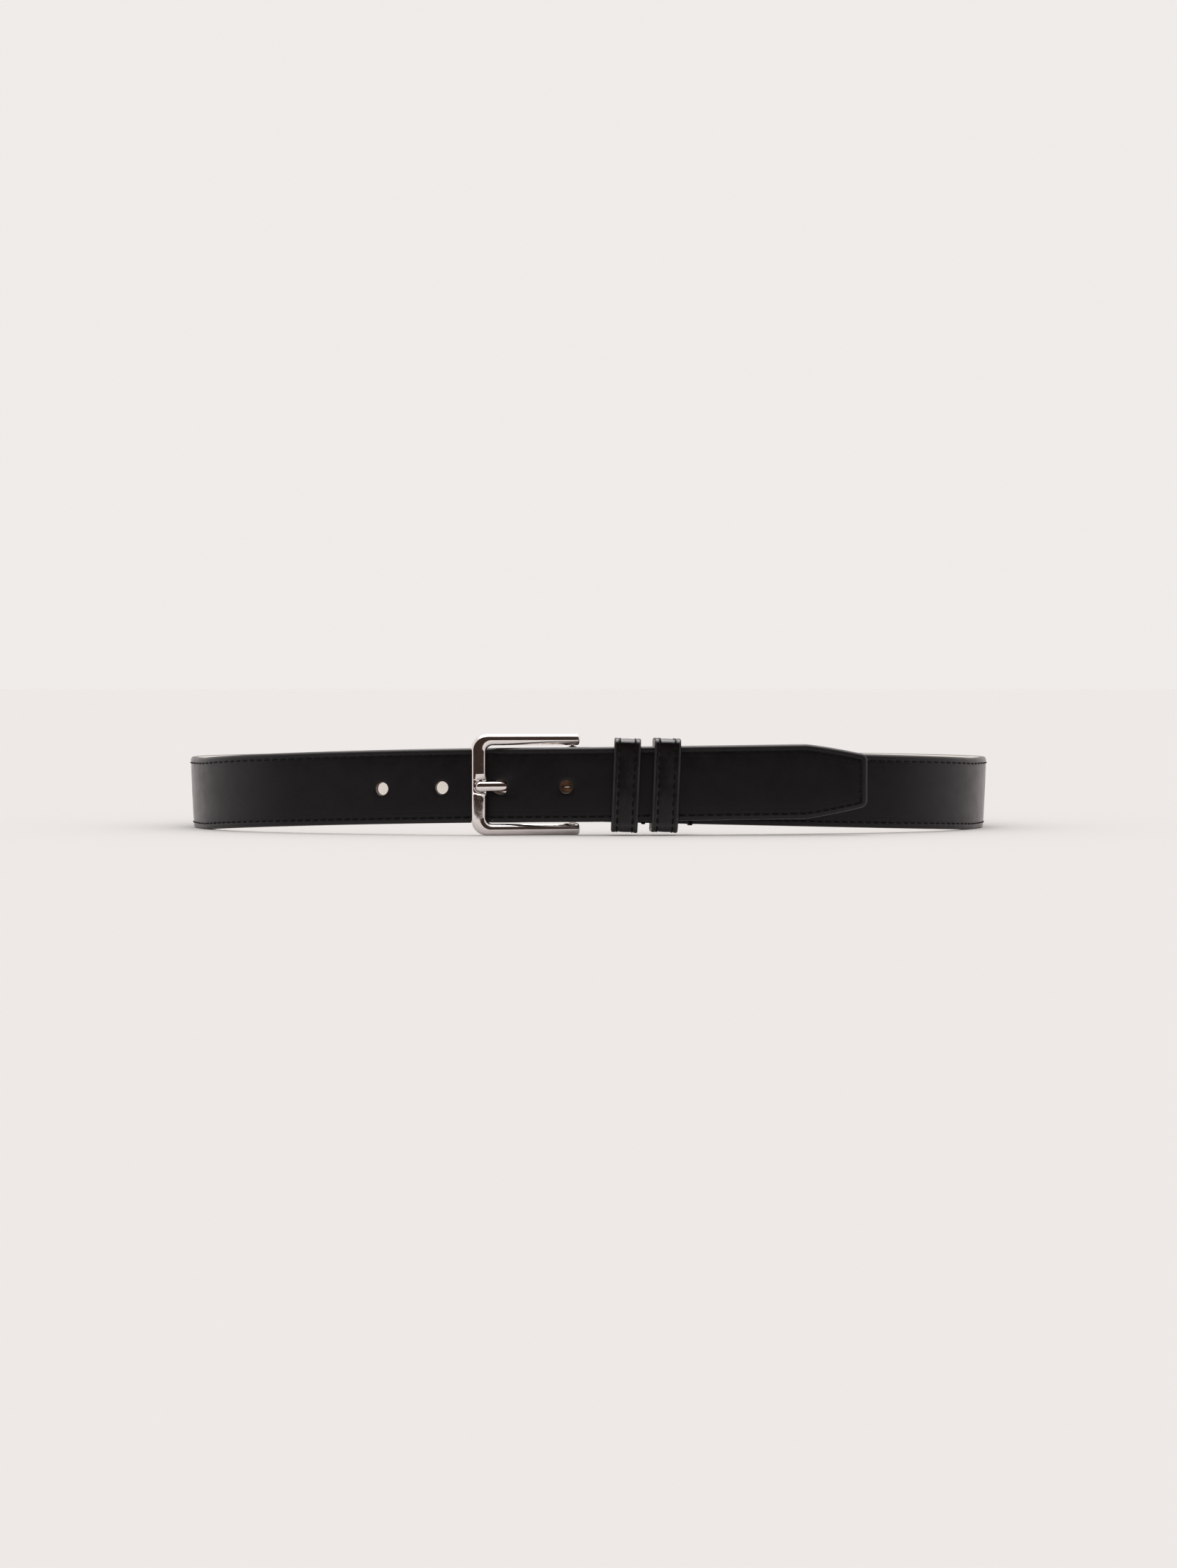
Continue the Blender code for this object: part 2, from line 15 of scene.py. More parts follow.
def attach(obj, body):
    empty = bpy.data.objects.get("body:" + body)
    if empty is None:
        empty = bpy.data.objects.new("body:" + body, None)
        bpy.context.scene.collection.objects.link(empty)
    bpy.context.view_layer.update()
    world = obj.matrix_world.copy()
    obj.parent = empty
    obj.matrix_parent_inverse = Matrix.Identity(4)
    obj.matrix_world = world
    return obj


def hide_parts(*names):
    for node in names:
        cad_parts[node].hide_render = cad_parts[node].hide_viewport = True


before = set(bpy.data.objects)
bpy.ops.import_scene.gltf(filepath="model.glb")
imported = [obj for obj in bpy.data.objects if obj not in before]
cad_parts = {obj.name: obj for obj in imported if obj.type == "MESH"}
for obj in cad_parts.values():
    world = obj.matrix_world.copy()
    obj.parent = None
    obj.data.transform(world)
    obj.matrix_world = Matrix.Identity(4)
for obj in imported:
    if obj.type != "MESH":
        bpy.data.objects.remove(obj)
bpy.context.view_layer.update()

MM = 0.001

# ---- the loop in plan ----
FRONT_STRAIGHT = 14 * MM
FRONT_RADIUS = 245 * MM
FRONT_TURN = math.radians(26)
SIDE_RADIUS = 82 * MM
SIDE_TURN = math.radians(92)
BACK_TURN = math.pi - FRONT_TURN - SIDE_TURN
FRONT_LINE_Y = -112.23 * MM

# ---- the strap ----
HALF = 15 * MM
THICKNESS = 3.2 * MM
FACE_DEPTH = 1.3 * MM
CORE_DEPTH = 2.4 * MM
SIDE_LEAN = math.tan(math.radians(2.6))
BUCKLE_LIFT = 5.5 * MM
LEFT_SLOPE = (182 * MM, 0.10)
RIGHT_SLOPE = (180 * MM, 0.73)
TIP_RISE = 0.014
TIP_RUN = 108.2 * MM
TAPER_LENGTH = 23.3 * MM
TIP_HALF = 10.4 * MM
TIP_CORNER = 2.8 * MM
TIP_RADIUS = 900 * MM
BEHIND_BAR = 2.3 * MM
OVERLAP = 4.7 * MM
DRIFT = (-150 * MM, -50 * MM)
RISE = (-45 * MM, -30 * MM)

# ---- holes: run of each centre past the lap; the middle one is dragged by the prong ----
HOLE_RUNS = (-84 * MM, -59 * MM, -9 * MM, 16 * MM)
HOLE_RADIUS = 2.62 * MM
HOLE_DROP = -0.7 * MM
USED_HOLE_RUN = -33.05 * MM
USED_HOLE_HALF = (4.35 * MM, 2.95 * MM)
USED_HOLE_SLANT = -1.27
USED_HOLE_LIP = 1.3 * MM
USED_HOLE_SHIFT = 0.8 * MM
USED_HOLE_PINCH = 0.16
USED_HOLE_BLOCK = (-8.4 * MM, 7.6 * MM)
USED_HOLE_INNER = 2.6 * MM
USED_HOLE_SPARE = 0.6 * MM

# ---- the fold, the flap and the keepers ----
HEEL = Vector((-6.5 * MM, FRONT_LINE_Y + 1.75 * MM))
FOLD_OUTER = 3.35 * MM
FOLD_MIDDLE = 2.7 * MM
FLAP_END = 45 * MM
FLAP_SURFACE = -5.1 * MM
CORE_START = 6 * MM
SLOT_HALF = 4 * MM
KEEPER_RUNS = (15.1 * MM, 30.8 * MM)
ROW_RUNS = (3.8 * MM, 22.5 * MM, 41.6 * MM)
ROW_PINCH = 0.55 * MM
ROW_SPREAD = 2.6 * MM
KEEPER_MIDDLE = 20.2 * MM
KEEPER_LEAN = math.radians(2.3)

# ---- seams ----
SEAM_INSET = 2.4 * MM
BORDER = 2.7 * MM
THREAD_RADIUS = 0.32 * MM
KEEPER_THREAD_RADIUS = 0.34 * MM
UV_SCALE = 10

# ---- close enough to be one place, least length to divide by, and a step for slopes ----
CLOSE = 1e-6
TINY = 1e-9
NUDGE = 0.1 * MM


# ==== the loop ====


def arc_list():
    """(length, radius) of the loop's arcs, from the middle of the front; radius 0 is straight."""
    reach = FRONT_STRAIGHT + FRONT_RADIUS * math.sin(FRONT_TURN)
    reach += SIDE_RADIUS * (math.sin(FRONT_TURN + SIDE_TURN) - math.sin(FRONT_TURN))
    back_radius = reach / math.sin(BACK_TURN)
    half = [
        (FRONT_STRAIGHT, 0),
        (FRONT_RADIUS * FRONT_TURN, FRONT_RADIUS),
        (SIDE_RADIUS * SIDE_TURN, SIDE_RADIUS),
        (back_radius * BACK_TURN, back_radius),
    ]
    return half + half[::-1]


ARCS = arc_list()
LAP = sum(length for length, radius in ARCS)
TIP_END = LAP + TIP_RUN


def loop_point(run):
    """The loop's middle line in plan, and its heading, at a run."""
    left = run % LAP
    point = Vector((0, FRONT_LINE_Y))
    heading = 0.0
    for length, radius in ARCS:
        step = min(left, length)
        turn = step / radius if radius else 0.0
        along = radius * math.sin(turn) if radius else step
        aside = radius * (1 - math.cos(turn))
        forward = Vector((math.cos(heading), math.sin(heading)))
        point = point + forward * along + Vector((-forward.y, forward.x)) * aside
        heading += turn
        left -= step
        if left <= 0:
            break
    return point, heading


def outward(heading):
    return Vector((math.sin(heading), -math.cos(heading)))


def smooth(low, high, value):
    t = min(max((value - low) / (high - low), 0.0), 1.0)
    return t * t * (3 - 2 * t)


def strap_offset(run):
    """How far the strap lies outside the loop's line where the tip overlaps the front."""
    past = run - LAP
    offset = BEHIND_BAR * smooth(*DRIFT, past) + (OVERLAP - BEHIND_BAR) * smooth(*RISE, past)
    if past > FRONT_STRAIGHT:
        offset += (past - FRONT_STRAIGHT) ** 2 / 2 * (1 / FRONT_RADIUS - 1 / TIP_RADIUS)
    return offset


def lower_edge(run):
    """Height of the strap's lower edge: lifted by the buckle, on the floor round the back."""
    past = run - LAP
    if past > 0:
        return BUCKLE_LIFT + TIP_RISE * past
    reach, bias = LEFT_SLOPE if past > -LAP / 2 else RIGHT_SLOPE
    away = -past if past > -LAP / 2 else max(run, 0)
    t = min(away / reach, 1.0)
    return BUCKLE_LIFT * (1 - bias * t - (1 - bias) * t * t)


def strap_surface(run):
    """Outer-face point, outward normal and lean of the strap at a run of 0 or more."""
    point, heading = loop_point(run)
    here = point + outward(heading) * strap_offset(run)
    ahead_point, ahead_heading = loop_point(run + NUDGE)
    ahead = ahead_point + outward(ahead_heading) * strap_offset(run + NUDGE)
    along = (ahead - here).normalized()
    normal = Vector((along.y, -along.x))
    lean = outward(heading) * (SIDE_LEAN * math.sin(heading) ** 2)
    return here + normal * (THICKNESS / 2), normal, lean


FOLD_START = HEEL.x
FOLD_STOP = FOLD_START - math.pi * FOLD_MIDDLE
FLAP_STOP = FOLD_STOP - (FLAP_END - HEEL.x)


def sheet_place(run):
    """As strap_surface, and on below 0: round the heel bar and back along the flap."""
    if run >= 0:
        point, normal, lean = strap_surface(run)
        return point, normal, lean, lower_edge(run)
    none = Vector((0, 0))
    if run >= FOLD_START:
        return Vector((run, FRONT_LINE_Y - THICKNESS / 2)), Vector((0, -1)), none, BUCKLE_LIFT
    if run >= FOLD_STOP:
        angle = -math.pi / 2 - (FOLD_START - run) / FOLD_MIDDLE
        normal = Vector((math.cos(angle), math.sin(angle)))
        return HEEL + normal * FOLD_OUTER, normal, none, BUCKLE_LIFT
    reach = HEEL.x + FOLD_STOP - run
    point, heading = loop_point(max(reach, 0))
    if reach < 0:
        point = point + Vector((reach, 0))
    pinch = sum(ROW_PINCH * math.exp(-((reach - row) / ROW_SPREAD) ** 2) for row in ROW_RUNS)
    normal = -outward(heading)
    return point + normal * (-FLAP_SURFACE - pinch), normal, none, lower_edge(max(reach, 0))


def bend(run, across, depth):
    """A flat place on the belt, bent into the loop."""
    point, normal, lean, low = sheet_place(run)
    flat = point - normal * depth + lean * (across + HALF)
    return Vector((flat.x, flat.y, low + HALF + across))


# ==== meshes ====


def make_mesh(name, verts, faces, materials, indices=None, seam=None, flat=None, sharp=40):
    """A smooth-shaded mesh object; seam and flat are one pair of coordinates for each vertex."""
    mesh = bpy.data.meshes.new(name)
    mesh.from_pydata([tuple(v) for v in verts], [], faces)
    for material in materials:
        mesh.materials.append(material)
    if indices:
        mesh.polygons.foreach_set("material_index", indices)
    for label, values in (("seam", seam), ("flat", flat)):
        if values:
            layer = mesh.uv_layers.new(name=label)
            for loop in mesh.loops:
                layer.data[loop.index].uv = values[loop.vertex_index]
    shaped = bmesh.new()
    shaped.from_mesh(mesh)
    bmesh.ops.recalc_face_normals(shaped, faces=shaped.faces)
    shaped.to_mesh(mesh)
    shaped.free()
    mesh.shade_smooth()
    mesh.set_sharp_from_angle(angle=math.radians(sharp))
    found = bpy.data.objects.new(name, mesh)
    bpy.context.scene.collection.objects.link(found)
    return found


def tube_faces(rings, size, base=0):
    """Quads along a tube of rings of the same size, with both its ends closed."""
    faces = []
    for i in range(rings - 1):
        first = base + i * size
        second = first + size
        for k in range(size):
            n = (k + 1) % size
            faces.append([first + k, first + n, second + n, second + k])
    faces.append([base + k for k in range(size)])
    faces.append([base + (rings - 1) * size + k for k in reversed(range(size))])
    return faces


def spaced(start, stop, step):
    """Numbers from start to stop, evenly spread and no more than a step apart."""
    count = max(1, math.ceil((stop - start) / step))
    return [start + (stop - start) * i / count for i in range(count + 1)]


# ==== the belt's flat outline ====


def taper_half(run):
    """Half the strap's width before its corners are rounded."""
    t = max(0.0, 1 - (TIP_END - run) / TAPER_LENGTH)
    return HALF - (HALF - TIP_HALF) * t ** 1.25


def taper_slope(run):
    return (taper_half(run + 0.05 * MM) - taper_half(run - 0.05 * MM)) / (0.1 * MM)


CORNER_TILT = math.atan(-taper_slope(TIP_END - TIP_CORNER))
CORNER_RUN = TIP_END - TIP_CORNER
CORNER_MEET = CORNER_RUN + TIP_CORNER * math.sin(CORNER_TILT)
CORNER_ACROSS = taper_half(CORNER_MEET) - TIP_CORNER * math.cos(CORNER_TILT)
CORNER_STEPS = 6


class Outline:
    """The belt's edge in the flat, from the flap along the top, round the tip and back below.

    Each place is (run, across, inward run, inward across); arc is its distance along the edge.
    """

    def __init__(self, runs, rows):
        self.places = []
        self.column = []
        for i, run in enumerate(runs):
            slope = taper_slope(run)
            size = math.hypot(1, slope)
            self.add(run, taper_half(run), slope / size, -1 / size, ("top", i))
        turns = [(math.pi / 2 - CORNER_TILT) * (1 - step / CORNER_STEPS)
                 for step in range(1, CORNER_STEPS)]
        for angle in turns:
            self.corner(angle, 1, ("top", len(runs)))
        for j in range(len(rows) - 1, -1, -1):
            self.add(TIP_END, CORNER_ACROSS * rows[j], -1, 0, ("end", j))
        for angle in reversed(turns):
            self.corner(angle, -1, ("bottom", len(runs)))
        for i in range(len(runs) - 1, -1, -1):
            run = runs[i]
            slope = taper_slope(run)
            size = math.hypot(1, slope)
            self.add(run, -taper_half(run), slope / size, 1 / size, ("bottom", i))
        self.arc = [0.0]
        for first, second in zip(self.places, self.places[1:]):
            step = math.hypot(second[0] - first[0], second[1] - first[1])
            self.arc.append(self.arc[-1] + step)

    def add(self, run, across, inward_run, inward_across, column):
        self.places.append((run, across, inward_run, inward_across))
        self.column.append(column)

    def corner(self, angle, side, column):
        c, s = math.cos(angle), math.sin(angle)
        self.add(CORNER_RUN + TIP_CORNER * c, side * (CORNER_ACROSS + TIP_CORNER * s),
                 -c, -side * s, column)

    def at(self, arc, inset):
        """The flat place at a distance along the edge and an inset from it."""
        low, high = 0, len(self.arc) - 1
        while high - low > 1:
            middle = (low + high) // 2
            if self.arc[middle] <= arc:
                low = middle
            else:
                high = middle
        first, second = self.places[low], self.places[high]
        t = (arc - self.arc[low]) / max(self.arc[high] - self.arc[low], TINY)
        run, across, in_run, in_across = (a + (b - a) * t for a, b in zip(first, second))
        return run + in_run * inset, across + in_across * inset


# rows of the strap's grid, as fractions of the grid's half height; the middle ones frame the holes
GRID_HALF = HALF - BORDER
HOLE_BLOCK = 4 * MM
HOLE_STEPS = 8
BLOCK_ROWS = [(HOLE_DROP + HOLE_BLOCK * (2 * j / HOLE_STEPS - 1)) / GRID_HALF
              for j in range(HOLE_STEPS + 1)]
OUTER_ROWS = [0.55, 0.7, 0.86, 0.95, 1.0]
ROWS = [-f for f in reversed(OUTER_ROWS)] + BLOCK_ROWS + OUTER_ROWS
BLOCK_ROW = len(OUTER_ROWS)

# the prong's slot runs through the fold, from the front of the strap to the flap
SLOT_RUNS = (HEEL.x + FOLD_STOP, 0.0)
SLOT_CORNER = 2 * MM


def hole_blocks():
    """(start run, stop run, hole) for each hole, where a hole is (run, half length, half height,
    slant): its centre at mid depth and its sideways shift for each unit of height above that."""
    blocks = []
    for past in HOLE_RUNS:
        centre = LAP + past
        hole = (centre, HOLE_RADIUS, HOLE_RADIUS, 0.0)
        blocks.append((centre - HOLE_BLOCK, centre + HOLE_BLOCK, hole))
    centre = LAP + USED_HOLE_RUN
    used = (centre, USED_HOLE_HALF[0], USED_HOLE_HALF[1], USED_HOLE_SLANT)
    blocks.append((centre + USED_HOLE_BLOCK[0], centre + USED_HOLE_BLOCK[1], used))
    return sorted(blocks)


def sheet_runs(start):
    """Grid columns along the belt, and which of them start a hole's block."""
    blocks = hole_blocks()
    stops = {CORE_START, FRONT_STRAIGHT, LAP - 130 * MM, TIP_END - TAPER_LENGTH, CORNER_MEET}
    fine = {TIP_END - TAPER_LENGTH: 1.5 * MM}
    if start < 0:
        stops |= {start, *SLOT_RUNS, SLOT_RUNS[0] + SLOT_CORNER, SLOT_RUNS[1] - SLOT_CORNER,
                  FOLD_STOP, FOLD_START}
        fine.update({start: 1.5 * MM, FOLD_STOP: 0.55 * MM, SLOT_RUNS[0]: 0.5 * MM,
                     SLOT_RUNS[1] - SLOT_CORNER: 0.5 * MM})
    for low, high, hole in blocks:
        stops |= {low, high}
    stops = sorted(stop for stop in stops if stop >= start)
    holes = {low: hole for low, high, hole in blocks}
    runs = [start]
    marks = {}
    for low, high in zip(stops, stops[1:]):
        if low in holes:
            marks[len(runs) - 1] = holes[low]
            made = [low + (high - low) * i / HOLE_STEPS for i in range(HOLE_STEPS + 1)]
        else:
            made = spaced(low, high, fine.get(low, 3 * MM))
        runs += made[1:]
    return runs, marks


def hole_ring(hole, depth, grow):
    """A hole's outline at a depth; it starts at the low corner, as its block's border does.

    The used hole is pinched on its left by the prong's pull and closed by a lip on its right.
    """
    centre, half_run, half_across, slant = hole
    middle = centre + slant * (THICKNESS / 2 - depth)
    ring = []
    for k in range(4 * HOLE_STEPS):
        angle = -0.75 * math.pi + math.tau * k / (4 * HOLE_STEPS)
        run = (half_run + grow) * math.cos(angle)
        pinch = 1 - USED_HOLE_PINCH * (run / half_run) ** 2 if slant and run < 0 else 1.0
        if slant and run > 0:
            lip = USED_HOLE_LIP * math.exp(-((depth / MM - 0.6) / 0.4) ** 2)
            shift = USED_HOLE_SHIFT if depth < FACE_DEPTH + CLOSE else 0.0
            run -= (lip + shift) * math.cos(angle)
        across = HOLE_DROP + (half_across + grow) * math.sin(angle) * pinch
        ring.append((middle + run, across, depth))
    return ring


def slot_half(run):
    """Half the height of the prong's slot, with rounded ends; 0 outside it."""
    inside = min(run - SLOT_RUNS[0], SLOT_RUNS[1] - run)
    if inside < -CLOSE:
        return 0.0
    drop = max(0.0, SLOT_CORNER - inside)
    return SLOT_HALF - SLOT_CORNER + math.sqrt(max(SLOT_CORNER ** 2 - drop ** 2, 0.0))


class Sheet:
    """One layer of the strap: a bordered grid on two faces, holed, made flat and then bent."""

    def __init__(self, runs, marks, rings):
        self.runs = runs
        self.marks = marks
        self.rings = rings
        self.outline = Outline(runs, ROWS)
        self.phases = [seam_phase(self.outline, arc) for arc in self.outline.arc]
        self.verts, self.seam, self.flat = [], [], []
        self.faces, self.indices = [], []
        block = range(BLOCK_ROW, BLOCK_ROW + HOLE_STEPS)
        self.slot_cells = {(i, j) for i, run in enumerate(runs[:-1]) for j in block
                           if SLOT_RUNS[0] - CLOSE <= run < SLOT_RUNS[1] - CLOSE}
        self.punched = {(start + i, j) for start in marks for i in range(HOLE_STEPS)
                        for j in block}

    def vertex(self, run, across, depth, phase=0.0, inset=9.0):
        self.verts.append(bend(run, across, depth))
        self.seam.append((phase, inset))
        self.flat.append((run * UV_SCALE, across * UV_SCALE))
        return len(self.verts) - 1

    def face(self, *corners, index=0):
        loop = []
        for corner in corners:
            if corner not in loop:
                loop.append(corner)
        if len(loop) > 2:
            self.faces.append(loop)
            self.indices.append(index)

    def open_inside(self, i, j):
        """Whether a grid point lies inside a hole's block or the slot, so that it isn't made."""
        around = {(i - 1, j - 1), (i - 1, j), (i, j - 1), (i, j)}
        return around <= self.punched or around <= self.slot_cells

    def grid(self, depth_of):
        """The field between the borders on one face; holes and the slot are left out."""
        last = len(self.runs)
        ends = {number: k for k, (kind, number) in enumerate(self.outline.column) if kind == "end"}
        columns = []
        for i in range(last + 1):
            if i < last:
                run, across, in_run, in_across = self.outline.places[i]
                run += in_run * BORDER
                half = across + in_across * BORDER
            else:
                run = TIP_END - BORDER
                half = CORNER_ACROSS
            column = []
            for j, fraction in enumerate(ROWS):
                if self.open_inside(i, j):
                    column.append(None)
                    continue
                across = half * fraction
                if {(i - 1, j), (i, j), (i - 1, j - 1), (i, j - 1)} & self.slot_cells:
                    share = slot_half(self.runs[i]) / SLOT_HALF
                    across = HOLE_DROP + (across - HOLE_DROP) * share
                if i < last:
                    place = i if fraction > 0 else len(self.phases) - 1 - i
                else:
                    place = ends[j]
                inset = min(BORDER + half * (1 - abs(fraction)), TIP_END - run)
                column.append(self.vertex(run, across, depth_of(inset), self.phases[place],
                                          inset / MM))
            columns.append(column)
        for i in range(last):
            for j in range(len(ROWS) - 1):
                if (i, j) not in self.punched and (i, j) not in self.slot_cells:
                    self.face(columns[i][j], columns[i + 1][j], columns[i + 1][j + 1],
                              columns[i][j + 1])
        return columns

    def bridge(self, first, second, index=0):
        """Quads between two closed rings of the same length."""
        size = len(first)
        for k in range(size):
            n = (k + 1) % size
            self.face(first[k], first[n], second[n], second[k], index=index)

    def block_ring(self, columns, start):
        """The border of a hole's block, counter-clockwise from its low corner."""
        low, high = BLOCK_ROW, BLOCK_ROW + HOLE_STEPS
        stop = start + HOLE_STEPS
        ring = [columns[i][low] for i in range(start, stop)]
        ring += [columns[stop][j] for j in range(low, high)]
        ring += [columns[i][high] for i in range(stop, start, -1)]
        ring += [columns[start][j] for j in range(high, low, -1)]
        return ring

    def punch(self, front, back, start, hole, profile):
        """Fills a block round its hole down a profile, whose sizes are in millimetres."""
        before = self.block_ring(front, start)
        for depth, grow, index in profile:
            ring = [self.vertex(*place) for place in hole_ring(hole, depth * MM, grow * MM)]
            self.bridge(before, ring, index)
            before = ring
        self.bridge(before, self.block_ring(back, start))

    def slot_wall(self, front, back):
        """The cut sides of the prong's slot."""
        for i, j in self.slot_cells:
            for di, dj, a, b in ((-1, 0, (0, 0), (0, 1)), (1, 0, (1, 0), (1, 1)),
                                 (0, -1, (0, 0), (1, 0)), (0, 1, (0, 1), (1, 1))):
                if (i + di, j + dj) in self.slot_cells:
                    continue
                first = (i + a[0], j + a[1])
                second = (i + b[0], j + b[1])
                self.face(front[first[0]][first[1]], front[second[0]][second[1]],
                          back[second[0]][second[1]], back[first[0]][first[1]], index=1)

    def build(self, front_field, back_field, profile):
        front = self.grid(front_field)
        back = self.grid(back_field)
        rings = [[self.grid_vertex(front, column) for column in self.outline.column]]
        for inset, depth in self.rings:
            ring = []
            for place, phase in zip(self.outline.places, self.phases):
                run, across, in_run, in_across = place
                ring.append(self.vertex(run + in_run * inset, across + in_across * inset, depth,
                                        phase, inset / MM))
            rings.append(ring)
        rings.append([self.grid_vertex(back, column) for column in self.outline.column])
        for first, second in zip(rings, rings[1:]):
            for k in range(len(first) - 1):
                self.face(first[k], first[k + 1], second[k + 1], second[k])
        for side in (0, -1):
            self.face(*(ring[side] for ring in rings))
        for j in range(len(ROWS) - 1):
            self.face(front[0][j], front[0][j + 1], back[0][j + 1], back[0][j])
        for start, hole in self.marks.items():
            self.punch(front, back, start, hole, profile)
        self.slot_wall(front, back)

    def grid_vertex(self, columns, column):
        kind, number = column
        if kind == "top":
            return columns[number][-1]
        if kind == "bottom":
            return columns[number][0]
        return columns[-1][number]

    def object(self, name, materials):
        return make_mesh(name, self.verts, self.faces, materials, self.indices, self.seam,
                         self.flat)


# ==== stitching along the edge ====

TOP_PITCH = 4.0 * MM
TIP_PITCH = 3.0 * MM
BOTTOM_PITCH = 3.6 * MM
END_TAPER = 0.72

# (place along a stitch, share of its dive), from end to end
STITCH_STEPS = ((0.17, 1.1), (0.23, 0.45), (0.36, 0.05), (0.50, -0.1), (0.64, 0.05), (0.77, 0.45),
                (0.83, 1.1))


def seam_phase(outline, arc):
    """How many stitches lie between the start of the edge and a place along it."""
    top = TIP_END - TAPER_LENGTH - outline.places[0][0]
    bottom = outline.arc[-1] - top
    phase = min(arc, top) / TOP_PITCH
    phase += max(0.0, min(arc, bottom) - top) / TIP_PITCH
    phase += max(0.0, arc - bottom) / BOTTOM_PITCH
    return phase


def seam_arc(outline, phase):
    """The place along the edge at a count of stitches."""
    top = TIP_END - TAPER_LENGTH - outline.places[0][0]
    bottom = outline.arc[-1] - top
    first = top / TOP_PITCH
    second = first + (bottom - top) / TIP_PITCH
    if phase < first:
        return phase * TOP_PITCH
    if phase < second:
        return top + (phase - first) * TIP_PITCH
    return bottom + (phase - second) * BOTTOM_PITCH


class Threads:
    """Many short stitches in one mesh; each is a fat little tube whose ends dive in."""

    def __init__(self, sides=6):
        self.sides = sides
        self.verts = []
        self.faces = []
        self.flat = []

    def stitch(self, points, ups, radius):
        base = len(self.verts)
        last = len(points) - 1
        for i, (point, up) in enumerate(zip(points, ups)):
            along = (points[min(i + 1, last)] - points[max(i - 1, 0)]).normalized()
            side = along.cross(up).normalized()
            top = side.cross(along)
            size = radius * (END_TAPER if i in (0, last) else 1.0)
            for k in range(self.sides):
                angle = math.tau * k / self.sides
                self.verts.append(point + side * (size * math.cos(angle))
                                  + top * (size * math.sin(angle)))
                self.flat.append((i / last, k / self.sides))
        self.faces += tube_faces(len(points), self.sides, base)

    def object(self, name, material):
        return make_mesh(name, self.verts, self.faces, [material], flat=self.flat, sharp=80)


def edge_stitches(outline, first_run, surface, sink, sign):
    """The seam's visible side on one face: surface is the thread's depth, sink its dive."""
    threads = Threads()
    total = seam_phase(outline, outline.arc[-1])
    for number in range(int(total)):
        if outline.at(seam_arc(outline, number + 0.5), SEAM_INSET)[0] < first_run:
            continue
        points, ups = [], []
        for t, dive in STITCH_STEPS:
            run, across = outline.at(seam_arc(outline, number + t), SEAM_INSET)
            points.append(bend(run, across, surface + sign * sink * dive))
            normal = sheet_place(run)[1]
            ups.append(Vector((normal.x, normal.y, 0)) * sign)
        threads.stitch(points, ups, THREAD_RADIUS)
    return threads


# ==== materials ====


def new_material(name):
    material = bpy.data.materials.new(name)
    material.use_nodes = True
    tree = material.node_tree
    shader = tree.nodes["Principled BSDF"]
    return material, tree, shader


def node(tree, kind, **values):
    found = tree.nodes.new(kind)
    for key, value in values.items():
        setattr(found, key, value)
    return found


def coordinates(tree):
    return node(tree, "ShaderNodeTexCoord").outputs["Object"]


def noise(tree, vector, scale, detail=3.0, roughness=0.5):
    found = node(tree, "ShaderNodeTexNoise")
    found.inputs["Scale"].default_value = scale
    found.inputs["Detail"].default_value = detail
    found.inputs["Roughness"].default_value = roughness
    tree.links.new(vector, found.inputs["Vector"])
    return found.outputs["Fac"]


def ramp(tree, value, stops):
    found = node(tree, "ShaderNodeValToRGB")
    elements = found.color_ramp.elements
    while len(elements) < len(stops):
        elements.new(0.5)
    for element, (position, colour) in zip(elements, stops):
        element.position = position
        element.color = (*colour, 1) if len(colour) == 3 else colour
    tree.links.new(value, found.inputs["Fac"])
    return found.outputs["Color"]


def span(tree, value, low, high, out_low, out_high):
    found = node(tree, "ShaderNodeMapRange")
    for label, number in (("From Min", low), ("From Max", high), ("To Min", out_low),
                          ("To Max", out_high)):
        found.inputs[label].default_value = number
    tree.links.new(value, found.inputs["Value"])
    return found.outputs["Result"]


def maths(tree, operation, first, second=None, third=None):
    found = node(tree, "ShaderNodeMath", operation=operation)
    for i, value in enumerate((first, second, third)):
        if value is None:
            continue
        if isinstance(value, (int, float)):
            found.inputs[i].default_value = value
        else:
            tree.links.new(value, found.inputs[i])
    return found.outputs["Value"]


def bump(tree, shader, height, strength, distance):
    found = node(tree, "ShaderNodeBump")
    found.inputs["Strength"].default_value = strength
    found.inputs["Distance"].default_value = distance
    tree.links.new(height, found.inputs["Height"])
    tree.links.new(found.outputs["Normal"], shader.inputs["Normal"])


def grain_height(tree, vector, cell):
    """Fine leather grain: small pebbles between a net of creases, over slow swells."""
    pebbles = node(tree, "ShaderNodeTexVoronoi", feature="DISTANCE_TO_EDGE")
    pebbles.inputs["Scale"].default_value = 1 / cell
    tree.links.new(vector, pebbles.inputs["Vector"])
    net = span(tree, pebbles.outputs["Distance"], 0.0, 0.25, 0.0, 1.0)
    fine = noise(tree, vector, 0.5 / cell, 4.0, 0.6)
    slow = noise(tree, vector, 0.03 / cell, 2.0)
    both = maths(tree, "MULTIPLY_ADD", fine, 0.6, net)
    return maths(tree, "MULTIPLY_ADD", slow, 2.0, both)


